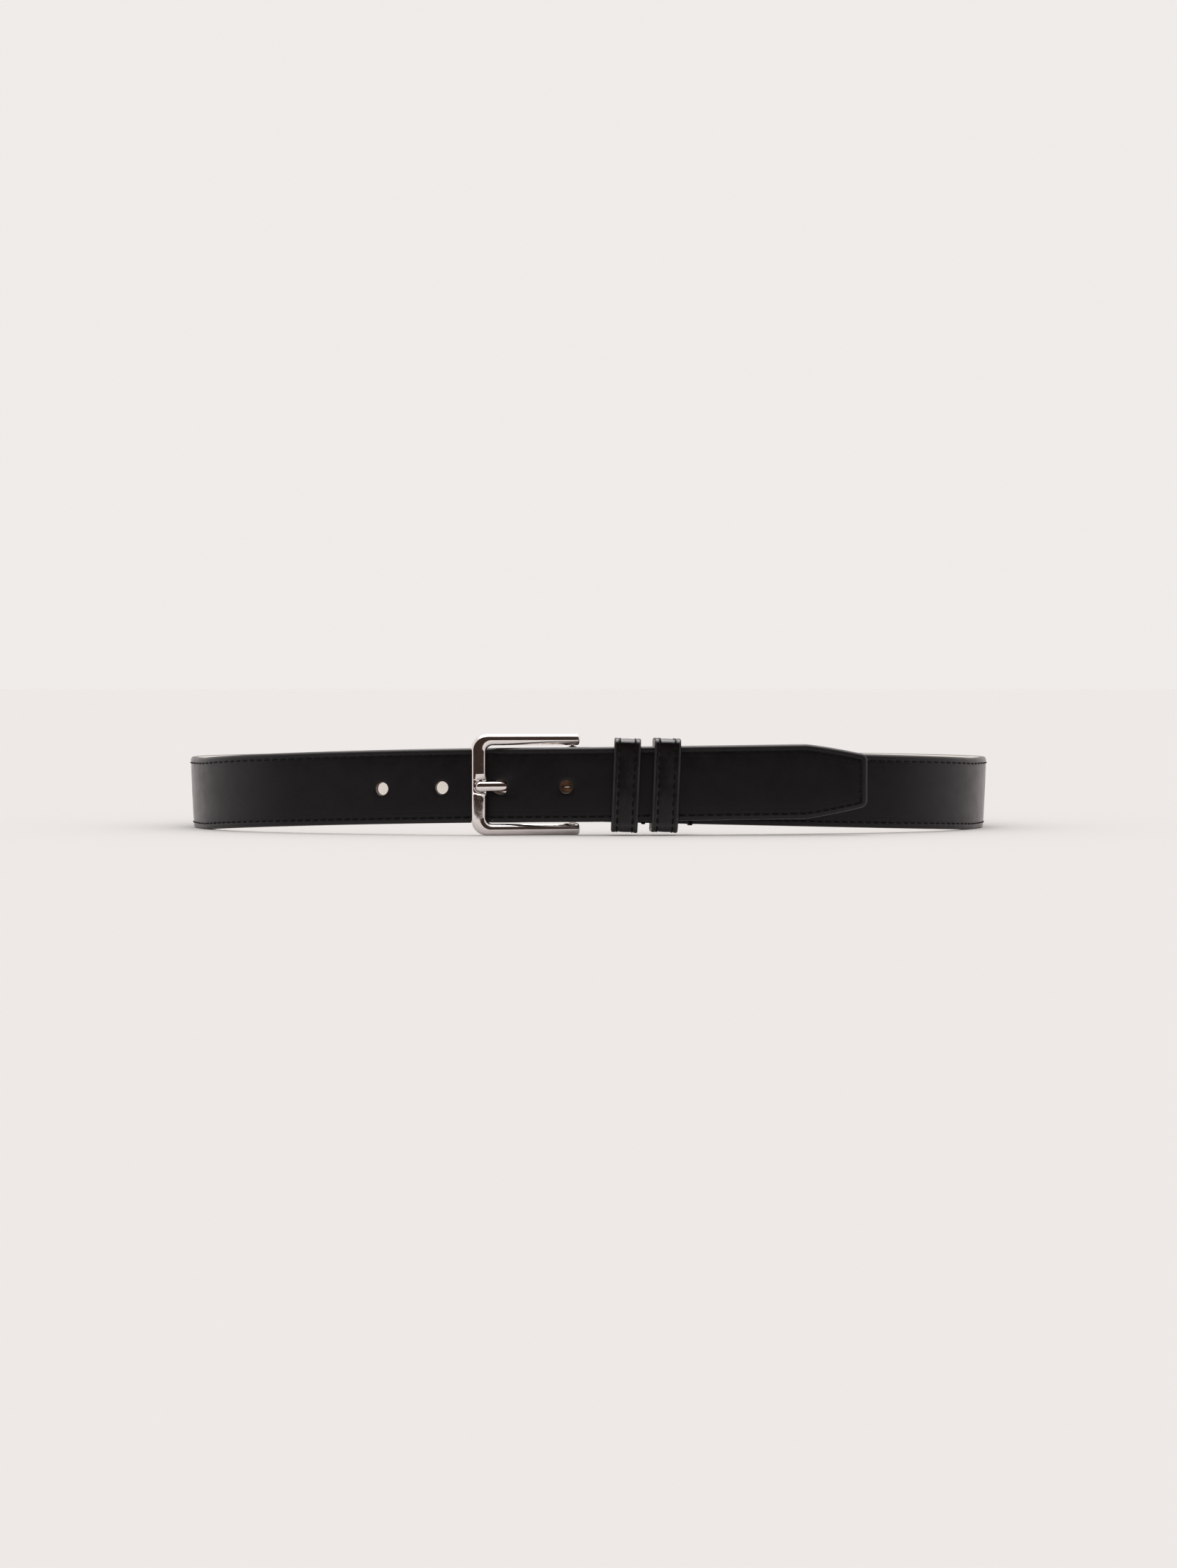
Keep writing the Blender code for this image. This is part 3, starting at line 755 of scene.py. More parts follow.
def seam_pits(tree):
    """(pit_and_shade, crease, margin): the needle holes along the seam, which are dented and
    darkened with painted shade, the pressed line inside the seam, and the margin between the seam
    and the edge, each 0 to 1.
    """
    uv = node(tree, "ShaderNodeUVMap", uv_map="seam")
    parts = node(tree, "ShaderNodeSeparateXYZ")
    tree.links.new(uv.outputs["UV"], parts.inputs["Vector"])
    phase = maths(tree, "FRACT", parts.outputs["X"])
    near = maths(tree, "ABSOLUTE", maths(tree, "SUBTRACT", phase, 0.5))
    along = maths(tree, "MULTIPLY", maths(tree, "SUBTRACT", 0.5, near), 3.6)
    aside = maths(tree, "SUBTRACT", parts.outputs["Y"], SEAM_INSET / MM)
    squares = maths(tree, "ADD", maths(tree, "MULTIPLY", along, along),
                    maths(tree, "MULTIPLY", aside, aside))
    pit_and_shade = span(tree, maths(tree, "SQRT", squares), 0.35, 0.75, 1.0, 0.0)
    line = maths(tree, "ABSOLUTE", maths(tree, "SUBTRACT", parts.outputs["Y"], 4.5))
    crease = span(tree, line, 0.0, 0.45, 1.0, 0.0)
    margin = span(tree, parts.outputs["Y"], 1.5, 2.1, 1.0, 0.0)
    return pit_and_shade, crease, margin


# Power of the painted grazing sheen on black leather: the higher it is, the nearer the sheen keeps
# to the edge of view.
PAINTED_SHEEN_FALL = 6.0


def mixed(tree, factor, first, second):
    """Two colours mixed; the second is a plain colour."""
    found = node(tree, "ShaderNodeMix", data_type="RGBA")
    tree.links.new(factor, found.inputs["Factor"])
    tree.links.new(first, found.inputs["A"])
    found.inputs["B"].default_value = (*second, 1)
    return found.outputs["Result"]


def black_leather(name, seamed, gloss=0.37, shine=0.26, relief=0.28):
    """Smooth black calf: very dark, faintly purple in patches, satin and finely grained, with a
    painted grazing sheen that pales it where it turns away from the eye.
    A seamed one also has a paler margin, and needle pits darkened with painted shade."""
    material, tree, shader = new_material(name)
    vector = coordinates(tree)
    patches = noise(tree, vector, 55, 4.0, 0.6)
    colour = ramp(tree, patches, ((0.30, (0.0030, 0.0018, 0.0026)),
                                  (0.70, (0.0050, 0.0032, 0.0044))))
    height = grain_height(tree, vector, 0.55 * MM)
    rough = span(tree, noise(tree, vector, 160, 3.0, 0.6), 0.3, 0.7, gloss - 0.06, gloss + 0.08)
    if seamed:
        pit_and_shade, crease, margin = seam_pits(tree)
        colour = mixed(tree, maths(tree, "MULTIPLY", margin, 0.7), colour, (0.014, 0.0125, 0.013))
        # Painted shade: the needle pits are coloured almost black.
        colour = mixed(tree, pit_and_shade, colour, (0.001, 0.001, 0.001))
        height = maths(tree, "MULTIPLY_ADD", crease, -1.6, height)
        height = maths(tree, "MULTIPLY_ADD", pit_and_shade, -7.0, height)
    # Painted sheen: the base colour pales towards grey where the surface turns away from the eye.
    facing = node(tree, "ShaderNodeLayerWeight").outputs["Facing"]
    colour = mixed(tree, maths(tree, "POWER", facing, PAINTED_SHEEN_FALL), colour, (0.30, 0.26, 0.265))
    tree.links.new(colour, shader.inputs["Base Color"])
    tree.links.new(rough, shader.inputs["Roughness"])
    shader.inputs["Specular IOR Level"].default_value = shine
    shader.inputs["Sheen Weight"].default_value = 0.15
    shader.inputs["Sheen Roughness"].default_value = 0.35
    shader.inputs["Sheen Tint"].default_value = (1.0, 0.93, 0.95, 1)
    bump(tree, shader, height, relief, 0.05 * MM)
    return material


def edge_paint(name):
    """Glossy black paint on the cut edges, with slow waves where it was ironed on."""
    material, tree, shader = new_material(name)
    vector = coordinates(tree)
    tone = ramp(tree, noise(tree, vector, 90, 3.0), ((0.3, (0.012, 0.0108, 0.0102)),
                                                     (0.7, (0.024, 0.021, 0.0195))))
    tree.links.new(tone, shader.inputs["Base Color"])
    rough = span(tree, noise(tree, vector, 300, 2.0), 0.3, 0.7, 0.30, 0.42)
    tree.links.new(rough, shader.inputs["Roughness"])
    bump(tree, shader, noise(tree, vector, 900, 3.0), 0.3, 0.05 * MM)
    return material


def raw_edge(name, light, dark, scale=2600):
    """Undyed leather and board seen in the wall of a punched hole."""
    material, tree, shader = new_material(name)
    vector = coordinates(tree)
    fibres = noise(tree, vector, scale, 5.0, 0.7)
    colour = ramp(tree, fibres, ((0.30, dark), (0.68, light)))
    tree.links.new(colour, shader.inputs["Base Color"])
    shader.inputs["Roughness"].default_value = 0.7
    bump(tree, shader, fibres, 0.6, 0.12 * MM)
    return material


def lining_leather(name):
    """Pale vegetable-tanned lining: cream with faint pores, clouds and rubbed patches."""
    material, tree, shader = new_material(name)
    vector = coordinates(tree)
    clouds = noise(tree, vector, 38, 5.0, 0.62)
    colour = ramp(tree, clouds, ((0.28, (0.80, 0.755, 0.70)), (0.72, (0.88, 0.85, 0.81))))
    pores = noise(tree, vector, 2400, 3.0, 0.6)
    speck = ramp(tree, pores, ((0.30, (0.86, 0.82, 0.78)), (0.48, (1, 1, 1))))
    mix = node(tree, "ShaderNodeMix", data_type="RGBA", blend_type="MULTIPLY")
    mix.inputs["Factor"].default_value = 0.6
    tree.links.new(colour, mix.inputs["A"])
    tree.links.new(speck, mix.inputs["B"])
    tree.links.new(mix.outputs["Result"], shader.inputs["Base Color"])
    rough = span(tree, clouds, 0.3, 0.7, 0.52, 0.66)
    tree.links.new(rough, shader.inputs["Roughness"])
    bump(tree, shader, grain_height(tree, vector, 0.8 * MM), 0.3, 0.08 * MM)
    return material


def nickel(name):
    """Polished nickel: warm grey metal with hairline wear and a few faint specks."""
    material, tree, shader = new_material(name)
    vector = coordinates(tree)
    shader.inputs["Metallic"].default_value = 1.0
    tone = ramp(tree, noise(tree, vector, 120, 3.0), ((0.3, (0.80, 0.745, 0.73)),
                                                      (0.7, (0.88, 0.825, 0.81))))
    tree.links.new(tone, shader.inputs["Base Color"])
    rough = span(tree, noise(tree, vector, 700, 4.0, 0.7), 0.35, 0.75, 0.05, 0.12)
    tree.links.new(rough, shader.inputs["Roughness"])
    waves = noise(tree, vector, 420, 2.0)
    specks = span(tree, noise(tree, vector, 3800, 2.0), 0.62, 0.75, 0.0, 1.0)
    bump(tree, shader, maths(tree, "MULTIPLY_ADD", specks, -0.25, waves), 0.12, 0.05 * MM)
    return material


def waxed_thread(name):
    """Black waxed thread, twisted."""
    material, tree, shader = new_material(name)
    uv = node(tree, "ShaderNodeUVMap", uv_map="flat")
    parts = node(tree, "ShaderNodeSeparateXYZ")
    tree.links.new(uv.outputs["UV"], parts.inputs["Vector"])
    turns = maths(tree, "MULTIPLY_ADD", parts.outputs["X"], 5.0, parts.outputs["Y"])
    wave = maths(tree, "SINE", maths(tree, "MULTIPLY", turns, math.tau))
    vector = coordinates(tree)
    tone = ramp(tree, noise(tree, vector, 900, 2.0), ((0.3, (0.0018, 0.0018, 0.0020)),
                                                      (0.7, (0.0042, 0.0042, 0.0046))))
    tree.links.new(tone, shader.inputs["Base Color"])
    shader.inputs["Roughness"].default_value = 0.62
    shader.inputs["Specular IOR Level"].default_value = 0.14
    bump(tree, shader, wave, 0.6, 0.05 * MM)
    return material


LEATHER = black_leather("belt_leather", True)
KEEPER_LEATHER = black_leather("keeper_leather", False, 0.24, 0.5, 0.08)
PAINT = edge_paint("painted_edge")
HOLE_WALL = raw_edge("punched_leather", (0.30, 0.22, 0.185), (0.11, 0.062, 0.042))
RAW_LEATHER = raw_edge("raw_leather", (0.27, 0.125, 0.055), (0.055, 0.020, 0.009), 420)
CORE_WALL = raw_edge("punched_board", (0.075, 0.038, 0.022), (0.026, 0.014, 0.009))
LINING = lining_leather("lining_leather")
NICKEL = nickel("polished_nickel")
THREAD = waxed_thread("waxed_thread")


# ==== the strap's layers ====


def strip(name, places, section, materials):
    """Sweeps a closed section of (inset, depth) along edge places; ends are capped."""
    verts, flat = [], []
    for run, across, in_run, in_across in places:
        for inset, depth in section:
            verts.append(bend(run + in_run * inset, across + in_across * inset, depth))
            flat.append((run * UV_SCALE, inset * UV_SCALE))
    return make_mesh(name, verts, tube_faces(len(places), len(section)), materials, flat=flat)


def in_mm(*pairs):
    return tuple((first * MM, second * MM) for first, second in pairs)


# (inset, depth) round the edges of the layers, from the front to the back
FACE_RINGS = in_mm(
    (2.62, 0.16), (2.45, 0.26), (2.3, 0.27), (2.1, 0.17), (1.8, 0.10), (1.3, 0.09), (0.9, 0.15),
    (0.55, 0.30), (0.28, 0.52), (0.10, 0.80), (0.05, 1.1), (0.08, 1.3),
)
CORE_RINGS = in_mm((0.14, 1.3), (0.14, 2.4))
LINING_RINGS = in_mm((0.08, 2.4), (0.06, 2.9), (0.25, 3.12), (0.6, 3.2))
EDGE_BEAD = in_mm((0.42, 0.50), (0.12, 0.66), (-0.03, 0.95), (-0.10, 1.5), (-0.10, 2.2),
                  (-0.03, 2.75), (0.12, 2.98), (0.42, 3.10), (0.5, 1.8))
FLAP_BEAD = in_mm((0.3, 0.42), (0.05, 0.55), (-0.04, 0.85), (0.05, 1.15), (0.3, 1.25))

# (depth, growth, material) down the wall of a hole: in the face, the filler and the lining
FACE_WALL = ((0.04, 0.75, 0), (0.10, 0.42, 0), (0.22, 0.18, 0), (0.42, 0.02, 0),
             (0.62, -0.03, 1), (1.3, -0.02, 1))
FILLER_WALL = ((1.3, 0.05, 1), (2.4, 0.05, 1))
LINING_WALL = ((2.4, -0.02, 1), (2.85, -0.02, 1), (3.05, 0.06, 0), (3.16, 0.25, 0), (3.2, 0.6, 0))


def face_field(inset):
    """The face leather is pulled down a little at its seam and is fullest along the middle."""
    return 0.02 * MM + 0.14 * MM * math.exp(-(inset - BORDER) / (1.6 * MM))


def close_fit(hole):
    """The used hole is tighter in the inner layers, which the prong hasn't spread."""
    centre, half_run, half_across, slant = hole
    if not slant:
        return hole
    return (centre, half_run + USED_HOLE_SPARE, USED_HOLE_INNER, slant)


def make_strap():
    """Face, filler and lining, then the painted edges and the seams along them."""
    runs, marks = sheet_runs(FLAP_STOP)
    face = Sheet(runs, marks, FACE_RINGS)
    face.build(face_field, lambda inset: FACE_DEPTH, FACE_WALL)
    sheet = face.object("belt_face", [LEATHER, HOLE_WALL])
    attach(sheet, "strap")
    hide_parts("strap_face")

    runs, marks = sheet_runs(CORE_START)
    marks = {start: close_fit(hole) for start, hole in marks.items()}
    core = Sheet(runs, marks, CORE_RINGS)
    core.build(lambda inset: FACE_DEPTH, lambda inset: CORE_DEPTH, FILLER_WALL)
    sheet = core.object("belt_filler", [CORE_WALL, CORE_WALL])
    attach(sheet, "strap")
    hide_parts("strap_filler")

    lining = Sheet(runs, marks, LINING_RINGS)
    lining.build(lambda inset: CORE_DEPTH, lambda inset: THICKNESS, LINING_WALL)
    sheet = lining.object("belt_lining", [LINING, HOLE_WALL])
    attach(sheet, "strap")
    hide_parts("strap_lining")

    places = [p for p in face.outline.places if p[0] >= CORE_START - CLOSE]
    bead = strip("belt_painted_edge", places, EDGE_BEAD, [PAINT])
    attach(bead, "strap")
    for label, side in (("upper", 1), ("lower", -1)):
        places = [p for p in face.outline.places if p[0] <= CORE_START + CLOSE and p[1] * side > 0]
        bead = strip("flap_painted_edge_" + label, places, FLAP_BEAD, [PAINT])
        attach(bead, "strap")

    seams = (("front", edge_stitches(face.outline, CORE_START, 0.10 * MM, 0.42 * MM, 1)),
             ("back", edge_stitches(face.outline, CORE_START, THICKNESS + 0.02 * MM, 0.4 * MM, -1)))
    for label, threads in seams:
        seam = threads.object("edge_seam_" + label, THREAD)
        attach(seam, "strap")


# ==== the fold's raw tab ====

TAB_REACH = (-15.5 * MM, -2.5 * MM)
TAB_HALF = 4.6 * MM
TAB_DEPTHS = (-1.3 * MM, -0.85 * MM)
STAPLE_ENDS = (-9.95 * MM, -7.0 * MM)
STAPLE_RADIUS = 0.6 * MM
STAPLE_LIFT = -0.9 * MM

# (inward, backward) of the staple's wire from an end, in millimetres
STAPLE_BEND = ((0, 0.3), (0.1, -0.05), (0.4, -0.3))


def make_tab():
    """A raw leather tab over the prong's loop, where the spare hole shows it, and its staple."""
    surface = FRONT_LINE_Y - THICKNESS / 2
    low, high = TAB_REACH
    verts = []
    for depth in TAB_DEPTHS:
        for x, z in ((low, -TAB_HALF), (high, -TAB_HALF), (high, TAB_HALF), (low, TAB_HALF)):
            verts.append(Vector((x, surface + depth, BUCKLE_LIFT + HALF + z)))
    faces = [[0, 1, 2, 3], [7, 6, 5, 4], [0, 4, 5, 1], [1, 5, 6, 2], [2, 6, 7, 3], [3, 7, 4, 0]]
    tab = make_mesh("raw_tab", verts, faces, [RAW_LEATHER])
    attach(tab, "strap")
    threads = Threads(sides=14)
    left, right = STAPLE_ENDS
    front = surface + TAB_DEPTHS[0]
    height = BUCKLE_LIFT + HALF + STAPLE_LIFT
    points = [Vector((left + inward * MM, front + back * MM, height))
              for inward, back in STAPLE_BEND]
    points += [Vector((right - inward * MM, front + back * MM, height))
               for inward, back in reversed(STAPLE_BEND)]
    threads.stitch(points, [Vector((0, -1, 0))] * len(points), STAPLE_RADIUS)
    staple = threads.object("tab_staple", NICKEL)
    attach(staple, "strap")


# ==== the cross rows ====

ROW_PITCH = 3.6 * MM
ROW_RADIUS = 0.3 * MM
WRAP_WIDE = (-0.85 * MM, -0.35 * MM, 0.1 * MM)
WRAP_TIGHT = (0.0,)
WRAP_PROUD = 0.42 * MM
WRAP_SUNK = -0.2 * MM
WRAP_POINTS = 26


def lengths_along(points):
    """The distance of each point along a polyline."""
    lengths = [0.0]
    for first, second in zip(points, points[1:]):
        lengths.append(lengths[-1] + (second - first).length)
    return lengths


def find_along(lengths, want):
    """(k, t): the piece of a polyline that holds a distance along it, and how far into it."""
    k = 0
    while k < len(lengths) - 2 and lengths[k + 1] < want:
        k += 1
    return k, (want - lengths[k]) / max(lengths[k + 1] - lengths[k], TINY)


def arc_points(points, count):
    """Points evenly spread along a polyline."""
    lengths = lengths_along(points)
    made = []
    for n in range(count):
        k, t = find_along(lengths, lengths[-1] * n / (count - 1))
        made.append(points[k].lerp(points[k + 1], t))
    return made


def make_cross_row(number, reach):
    """Separate stitches on strap and flap, and turns of thread round each edge: three standing
    proud where they show below the strap, and a single sunken one where a keeper slides by."""
    threads = Threads()
    back_run = HEEL.x + FOLD_STOP - reach
    span_across = HALF - SEAM_INSET
    count = round(2 * span_across / ROW_PITCH)
    pitch = 2 * span_across / count
    for run in (reach, back_run):
        normal = sheet_place(run)[1]
        up = Vector((normal.x, normal.y, 0))
        for n in range(count):
            points = []
            for t, dive in STITCH_STEPS:
                across = -span_across + (n + t) * pitch
                points.append(bend(run, across, (-0.08 + 0.75 * dive) * MM))
            threads.stitch(points, [up] * len(points), ROW_RADIUS)
    for side in (-1, 1):
        wide = side < 0 and number > 1
        proud = WRAP_PROUD if wide else WRAP_SUNK
        for turn in WRAP_WIDE if wide else WRAP_TIGHT:
            surface = ((0.1, SEAM_INSET), (-0.12, 1.4 * MM), (0.25, -proud * 0.5))
            corners = [bend(reach + turn, side * (HALF - inset), depth * MM)
                       for depth, inset in (*surface, (1.6, -proud))]
            corners += [bend(back_run - turn, side * (HALF - inset), depth * MM)
                        for depth, inset in ((1.0, -proud), *reversed(surface))]
            points = arc_points(corners, WRAP_POINTS)
            middle = sum(points, Vector((0, 0, 0))) / len(points)
            threads.stitch(points, [(p - middle).normalized() for p in points], ROW_RADIUS)
    row = threads.object("cross_row_%d" % number, THREAD)
    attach(row, "strap")
    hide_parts("cross_stitch_%d" % number)


# ==== the keepers ====

KEEPER_WIDTH = 10.5 * MM
KEEPER_HALF_HEIGHT = 19 * MM
KEEPER_FRONT = 8.95 * MM
KEEPER_BACK = 3.1 * MM
KEEPER_BEND = 3.0 * MM
KEEPER_SEAM = 2.2 * MM
KEEPER_BACK_BEND = 1.2 * MM

# sections across a keeper's wall: (place across, depth) in millimetres
KEEPER_PROFILE = (
    (5.20, 0.66), (5.20, 0.50), (5.08, 0.28), (4.82, 0.10), (4.45, 0.02), (4.0, 0.02),
    (3.6, 0.12), (3.3, 0.32), (3.05, 0.42), (2.8, 0.34), (2.4, 0.26), (1.2, 0.20), (0.0, 0.18),
)
KEEPER_FACE_SECTION = (*((-across, depth) for across, depth in KEEPER_PROFILE),
                       *KEEPER_PROFILE[-2::-1], (5.1, 0.80), (-5.1, 0.80))
KEEPER_LINING_SECTION = ((-5.1, 1.12), (-5.1, 0.9), (-4.9, 0.8), (4.9, 0.8), (5.1, 0.9),
                         (5.1, 1.12), (4.9, 1.5), (-4.9, 1.5))
KEEPER_BEAD = ((-5.12, 0.9), (-5.30, 0.72), (-5.32, 0.45), (-5.2, 0.2), (-4.98, 0.04),
               (-4.7, -0.03), (-4.45, 0.0), (-4.7, 0.5))


def keeper_path():
    """(place, outward) round the keeper's outer face, in its own depth and height plane."""
    front, back, half = -KEEPER_FRONT, KEEPER_BACK, KEEPER_HALF_HEIGHT
    corners = (((front, -half), (1, 1), math.pi), ((back, -half), (-1, 1), 1.5 * math.pi),
               ((back, half), (-1, -1), 0.0), ((front, half), (1, -1), 0.5 * math.pi))
    path = []
    for n, ((y, z), (sy, sz), start) in enumerate(corners):
        radius = KEEPER_BEND if y < 0 else KEEPER_BACK_BEND
        centre = Vector((y + sy * radius, z + sz * radius))
        for step in range(13):
            angle = start + math.pi / 2 * step / 12
            normal = Vector((math.cos(angle), math.sin(angle)))
            path.append((centre + normal * radius, normal))
        after = corners[(n + 1) % 4]
        radius = KEEPER_BEND if after[0][0] < 0 else KEEPER_BACK_BEND
        normal = Vector((math.cos(after[2]), math.sin(after[2])))
        stop = Vector(after[0]) + Vector(after[1]) * radius + normal * radius
        here = path[-1][0]
        count = max(2, round((stop - here).length / (1.2 * MM)))
        for step in range(1, count):
            path.append((here.lerp(stop, step / count), normal))
    return path


def keeper_place(run):
    point, heading = loop_point(run)
    turn = Matrix.Rotation(heading, 4, "Z") @ Matrix.Rotation(KEEPER_LEAN, 4, "Y")
    return Matrix.Translation((point.x, point.y, KEEPER_MIDDLE)) @ turn


def ring_band(name, path, section, material):
    """Sweeps a closed section of (width, depth) in millimetres round a keeper's path."""
    verts, faces, flat = [], [], []
    size = len(section)
    length = 0.0
    for i, (place, normal) in enumerate(path):
        length += (place - path[i - 1][0]).length if i else 0.0
        for width, depth in section:
            spot = place - normal * (depth * MM)
            verts.append(Vector((width * MM, spot.x, spot.y)))
            flat.append((length * 10, width / 100))
    for i in range(len(path)):
        after = (i + 1) % len(path)
        for k in range(size):
            n = (k + 1) % size
            faces.append([i * size + k, i * size + n, after * size + n, after * size + k])
    return make_mesh(name, verts, faces, [material], flat=flat, sharp=60)


def keeper_seams(path):
    """Two rows of stitches all the way round the band."""
    threads = Threads()
    closed = path + path[:1]
    lengths = lengths_along([place for place, normal in closed])
    count = round(lengths[-1] / ROW_PITCH)
    pitch = lengths[-1] / count
    for side in (-1, 1):
        for n in range(count):
            points, ups = [], []
            for share, dive in STITCH_STEPS:
                k, t = find_along(lengths, (n + share) * pitch)
                (place, normal), (next_place, next_normal) = closed[k], closed[k + 1]
                normal = normal.lerp(next_normal, t)
                spot = place.lerp(next_place, t) - normal * ((0.30 + 0.35 * dive) * MM)
                points.append(Vector((side * (KEEPER_WIDTH / 2 - KEEPER_SEAM), spot.x, spot.y)))
                ups.append(Vector((0, normal.x, normal.y)))
            threads.stitch(points, ups, KEEPER_THREAD_RADIUS)
    return threads


def make_keeper(number, run):
    body = "keeper_%d" % number
    place = keeper_place(run)
    path = keeper_path()
    face = ring_band(body + "_band", path, KEEPER_FACE_SECTION, KEEPER_LEATHER)
    lining = ring_band(body + "_inner", path, KEEPER_LINING_SECTION, LINING)
    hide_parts(body + "_face")
    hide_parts(body + "_lining")
    left = ring_band(body + "_edge_left", path, KEEPER_BEAD, PAINT)
    right = ring_band(body + "_edge_right", path, [(-w, d) for w, d in KEEPER_BEAD][::-1], PAINT)
    seams = keeper_seams(path).object(body + "_seams", THREAD)
    for piece, finish in ((face, "black_leather"), (lining, "lining_leather"),
                          (left, "black_leather"), (right, "black_leather"), (seams, "thread")):
        piece.matrix_world = place
        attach(piece, body)


# ==== the buckle ====

FRAME_ANGLE = math.radians(12)
FRAME_HEIGHT = 41 * MM
FRAME_HALF_DEPTH = 2 * MM
FRONT_BAR_LEFT = -41.5 * MM
FRONT_BAR_RIGHT = -35.5 * MM
ARM_WIDTH = 4.7 * MM
ARM_END_X = 2.8 * MM
FRAME_CORNER = 6.5 * MM
FRAME_INNER_CORNER = 2.6 * MM
ARM_ROUND = 0.9 * MM
HEEL_BAR_RADIUS = 1.75 * MM
BAR_SIDES = 40
SEAT_WIDTH = 5.4 * MM
SEAT_MARGIN = 0.6 * MM
AIR = 0.3 * MM

FRONT_CREST = 2.0 * MM
FRONT_SIDE = 0.2 * MM
BACK_ROUND = 0.9 * MM


def frame_section(width):
    """(share across, depth): a half-round front from the outer edge to the inner, and a flat back
    with rounded corners. Front is minus."""
    section = []
    for step in range(25):
        angle = math.pi * step / 24
        lift = math.sin(angle) ** 0.9
        depth = FRONT_SIDE - (FRONT_CREST + FRONT_SIDE) * lift
        section.append((0.5 - 0.5 * math.cos(angle), depth))
    for side, angles in ((1, range(0, 91, 15)), (-1, range(90, -1, -15))):
        for angle in angles:
            turn = math.radians(angle)
            inset = BACK_ROUND * (1 - math.cos(turn)) / width
            depth = FRAME_HALF_DEPTH - BACK_ROUND * (1 - math.sin(turn))
            section.append((1 - inset if side > 0 else inset, depth))
    return section


def frame_stations():
    """(outer, inner) edge points in X and Z from the upper arm's end round to the lower one's."""
    top = FRAME_HEIGHT
    outer_centre = Vector((FRONT_BAR_LEFT + FRAME_CORNER, top - FRAME_CORNER))
    inner_centre = Vector((FRONT_BAR_RIGHT + FRAME_INNER_CORNER,
                           top - ARM_WIDTH - FRAME_INNER_CORNER))
    half = []
    arm_stop = ARM_END_X - ARM_ROUND
    count = 12
    for step in range(count):
        t = step / count
        half.append((Vector((arm_stop + (outer_centre.x - arm_stop) * t, top)),
                     Vector((arm_stop + (inner_centre.x - arm_stop) * t, top - ARM_WIDTH))))
    for step in range(17):
        angle = math.pi / 2 + math.pi / 2 * step / 16
        ray = Vector((math.cos(angle), math.sin(angle)))
        half.append((outer_centre + ray * FRAME_CORNER, inner_centre + ray * FRAME_INNER_CORNER))
    for step in range(1, 7):
        t = step / 6
        half.append((Vector((FRONT_BAR_LEFT, outer_centre.y + (top / 2 - outer_centre.y) * t)),
                     Vector((FRONT_BAR_RIGHT, inner_centre.y + (top / 2 - inner_centre.y) * t))))
    other = [(Vector((o.x, top - o.y)), Vector((i.x, top - i.y))) for o, i in half[-2::-1]]
    return half + other


def make_frame():
    stations = frame_stations()
    rings = []
    for a in (0, 22.5, 45, 67.5):
        turn = math.radians(a)
        rings.append((stations[0], ARM_ROUND * math.cos(turn) - ARM_ROUND,
                      ARM_ROUND * (1 - math.sin(turn))))
    rings += [(pair, None, 0.0) for pair in stations]
    rings += [(stations[-1], shift, inset) for pair, shift, inset in reversed(rings[:4])]
    verts = []
    for (outer, inner), shift, inset in rings:
        width = (inner - outer).length
        section = frame_section(width)
        for share, depth in section:
            spot = outer.lerp(inner, share + (0.5 - share) * 2 * inset / width)
            depth *= 1 - inset / FRAME_HALF_DEPTH
            if shift is not None:
                spot = spot + Vector((ARM_ROUND + shift, 0))
            verts.append(Vector((spot.x, depth, spot.y)))
    faces = tube_faces(len(rings), len(section))
    frame_piece = make_mesh("frame", verts, faces, [NICKEL], sharp=50)
    frame_piece.matrix_world = (Matrix.Translation((HEEL.x, HEEL.y, 0))
                                @ Matrix.Rotation(FRAME_ANGLE, 4, "Z"))
    cut_away(frame_piece, seat_cutter())
    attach(frame_piece, "buckle")
    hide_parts("buckle_frame")


def cut_away(piece, cutter):
    """Cuts the cutter's shape out of the piece's mesh, so that the cut moves with the piece."""
    carve = piece.modifiers.new("cut", "BOOLEAN")
    carve.operation = "DIFFERENCE"
    carve.object = cutter
    bpy.context.view_layer.update()
    graph = bpy.context.evaluated_depsgraph_get()
    cut_mesh = bpy.data.meshes.new_from_object(piece.evaluated_get(graph))
    piece.modifiers.clear()
    piece.data = cut_mesh
    bpy.data.objects.remove(cutter)


def seat_cutter():
    """A flat-floored trough for the prong's end, with broken upper edges."""
    line = prong_line()
    tip, before = line[-1], line[-2]
    slope = math.atan2(before.y - tip.y, before.x - tip.x)
    floor = PRONG_THICKNESS / 2 + AIR
    half = SEAT_WIDTH / 2
    profile = ((-half, floor), (half, floor), (half, 0.6 * MM), (half + 4 * MM, -3.4 * MM),
               (-half - 4 * MM, -3.4 * MM), (-half, 0.6 * MM))
    left = -PRONG_WIDTH / 2 - SEAT_MARGIN
    verts = [Vector((x, y, z)) for x in (left, 12 * MM) for z, y in profile]
    cutter = make_mesh("seat_cutter", verts, tube_faces(2, len(profile)), [NICKEL])
    cutter.matrix_world = (Matrix.Translation((HEEL.x + tip.x, HEEL.y + tip.y, PRONG_HEIGHT))
                           @ Matrix.Rotation(slope, 4, "Z"))
    return cutter


def make_heel_bar():
    """A round bar with a thinner pin at each end, let into the arms."""
    profile = [(0.75, 1.6), (0.9, 1.75), (0.9, 4.9), (1.0, 5.0), (1.6, 5.0), (1.75, 5.15)]
    profile += [(radius, FRAME_HEIGHT / MM - height) for radius, height in reversed(profile)]
    verts = []
    for radius, height in profile:
        for k in range(BAR_SIDES):
            angle = math.tau * k / BAR_SIDES
            verts.append(Vector((radius * math.cos(angle), radius * math.sin(angle), height)) * MM)
    faces = tube_faces(len(profile), BAR_SIDES)
    bar = make_mesh("heel_bar_turned", verts, faces, [NICKEL])
    bar.matrix_world = Matrix.Translation((HEEL.x, HEEL.y, 0))
    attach(bar, "buckle")
    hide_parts("heel_bar")


# ==== the prong ====

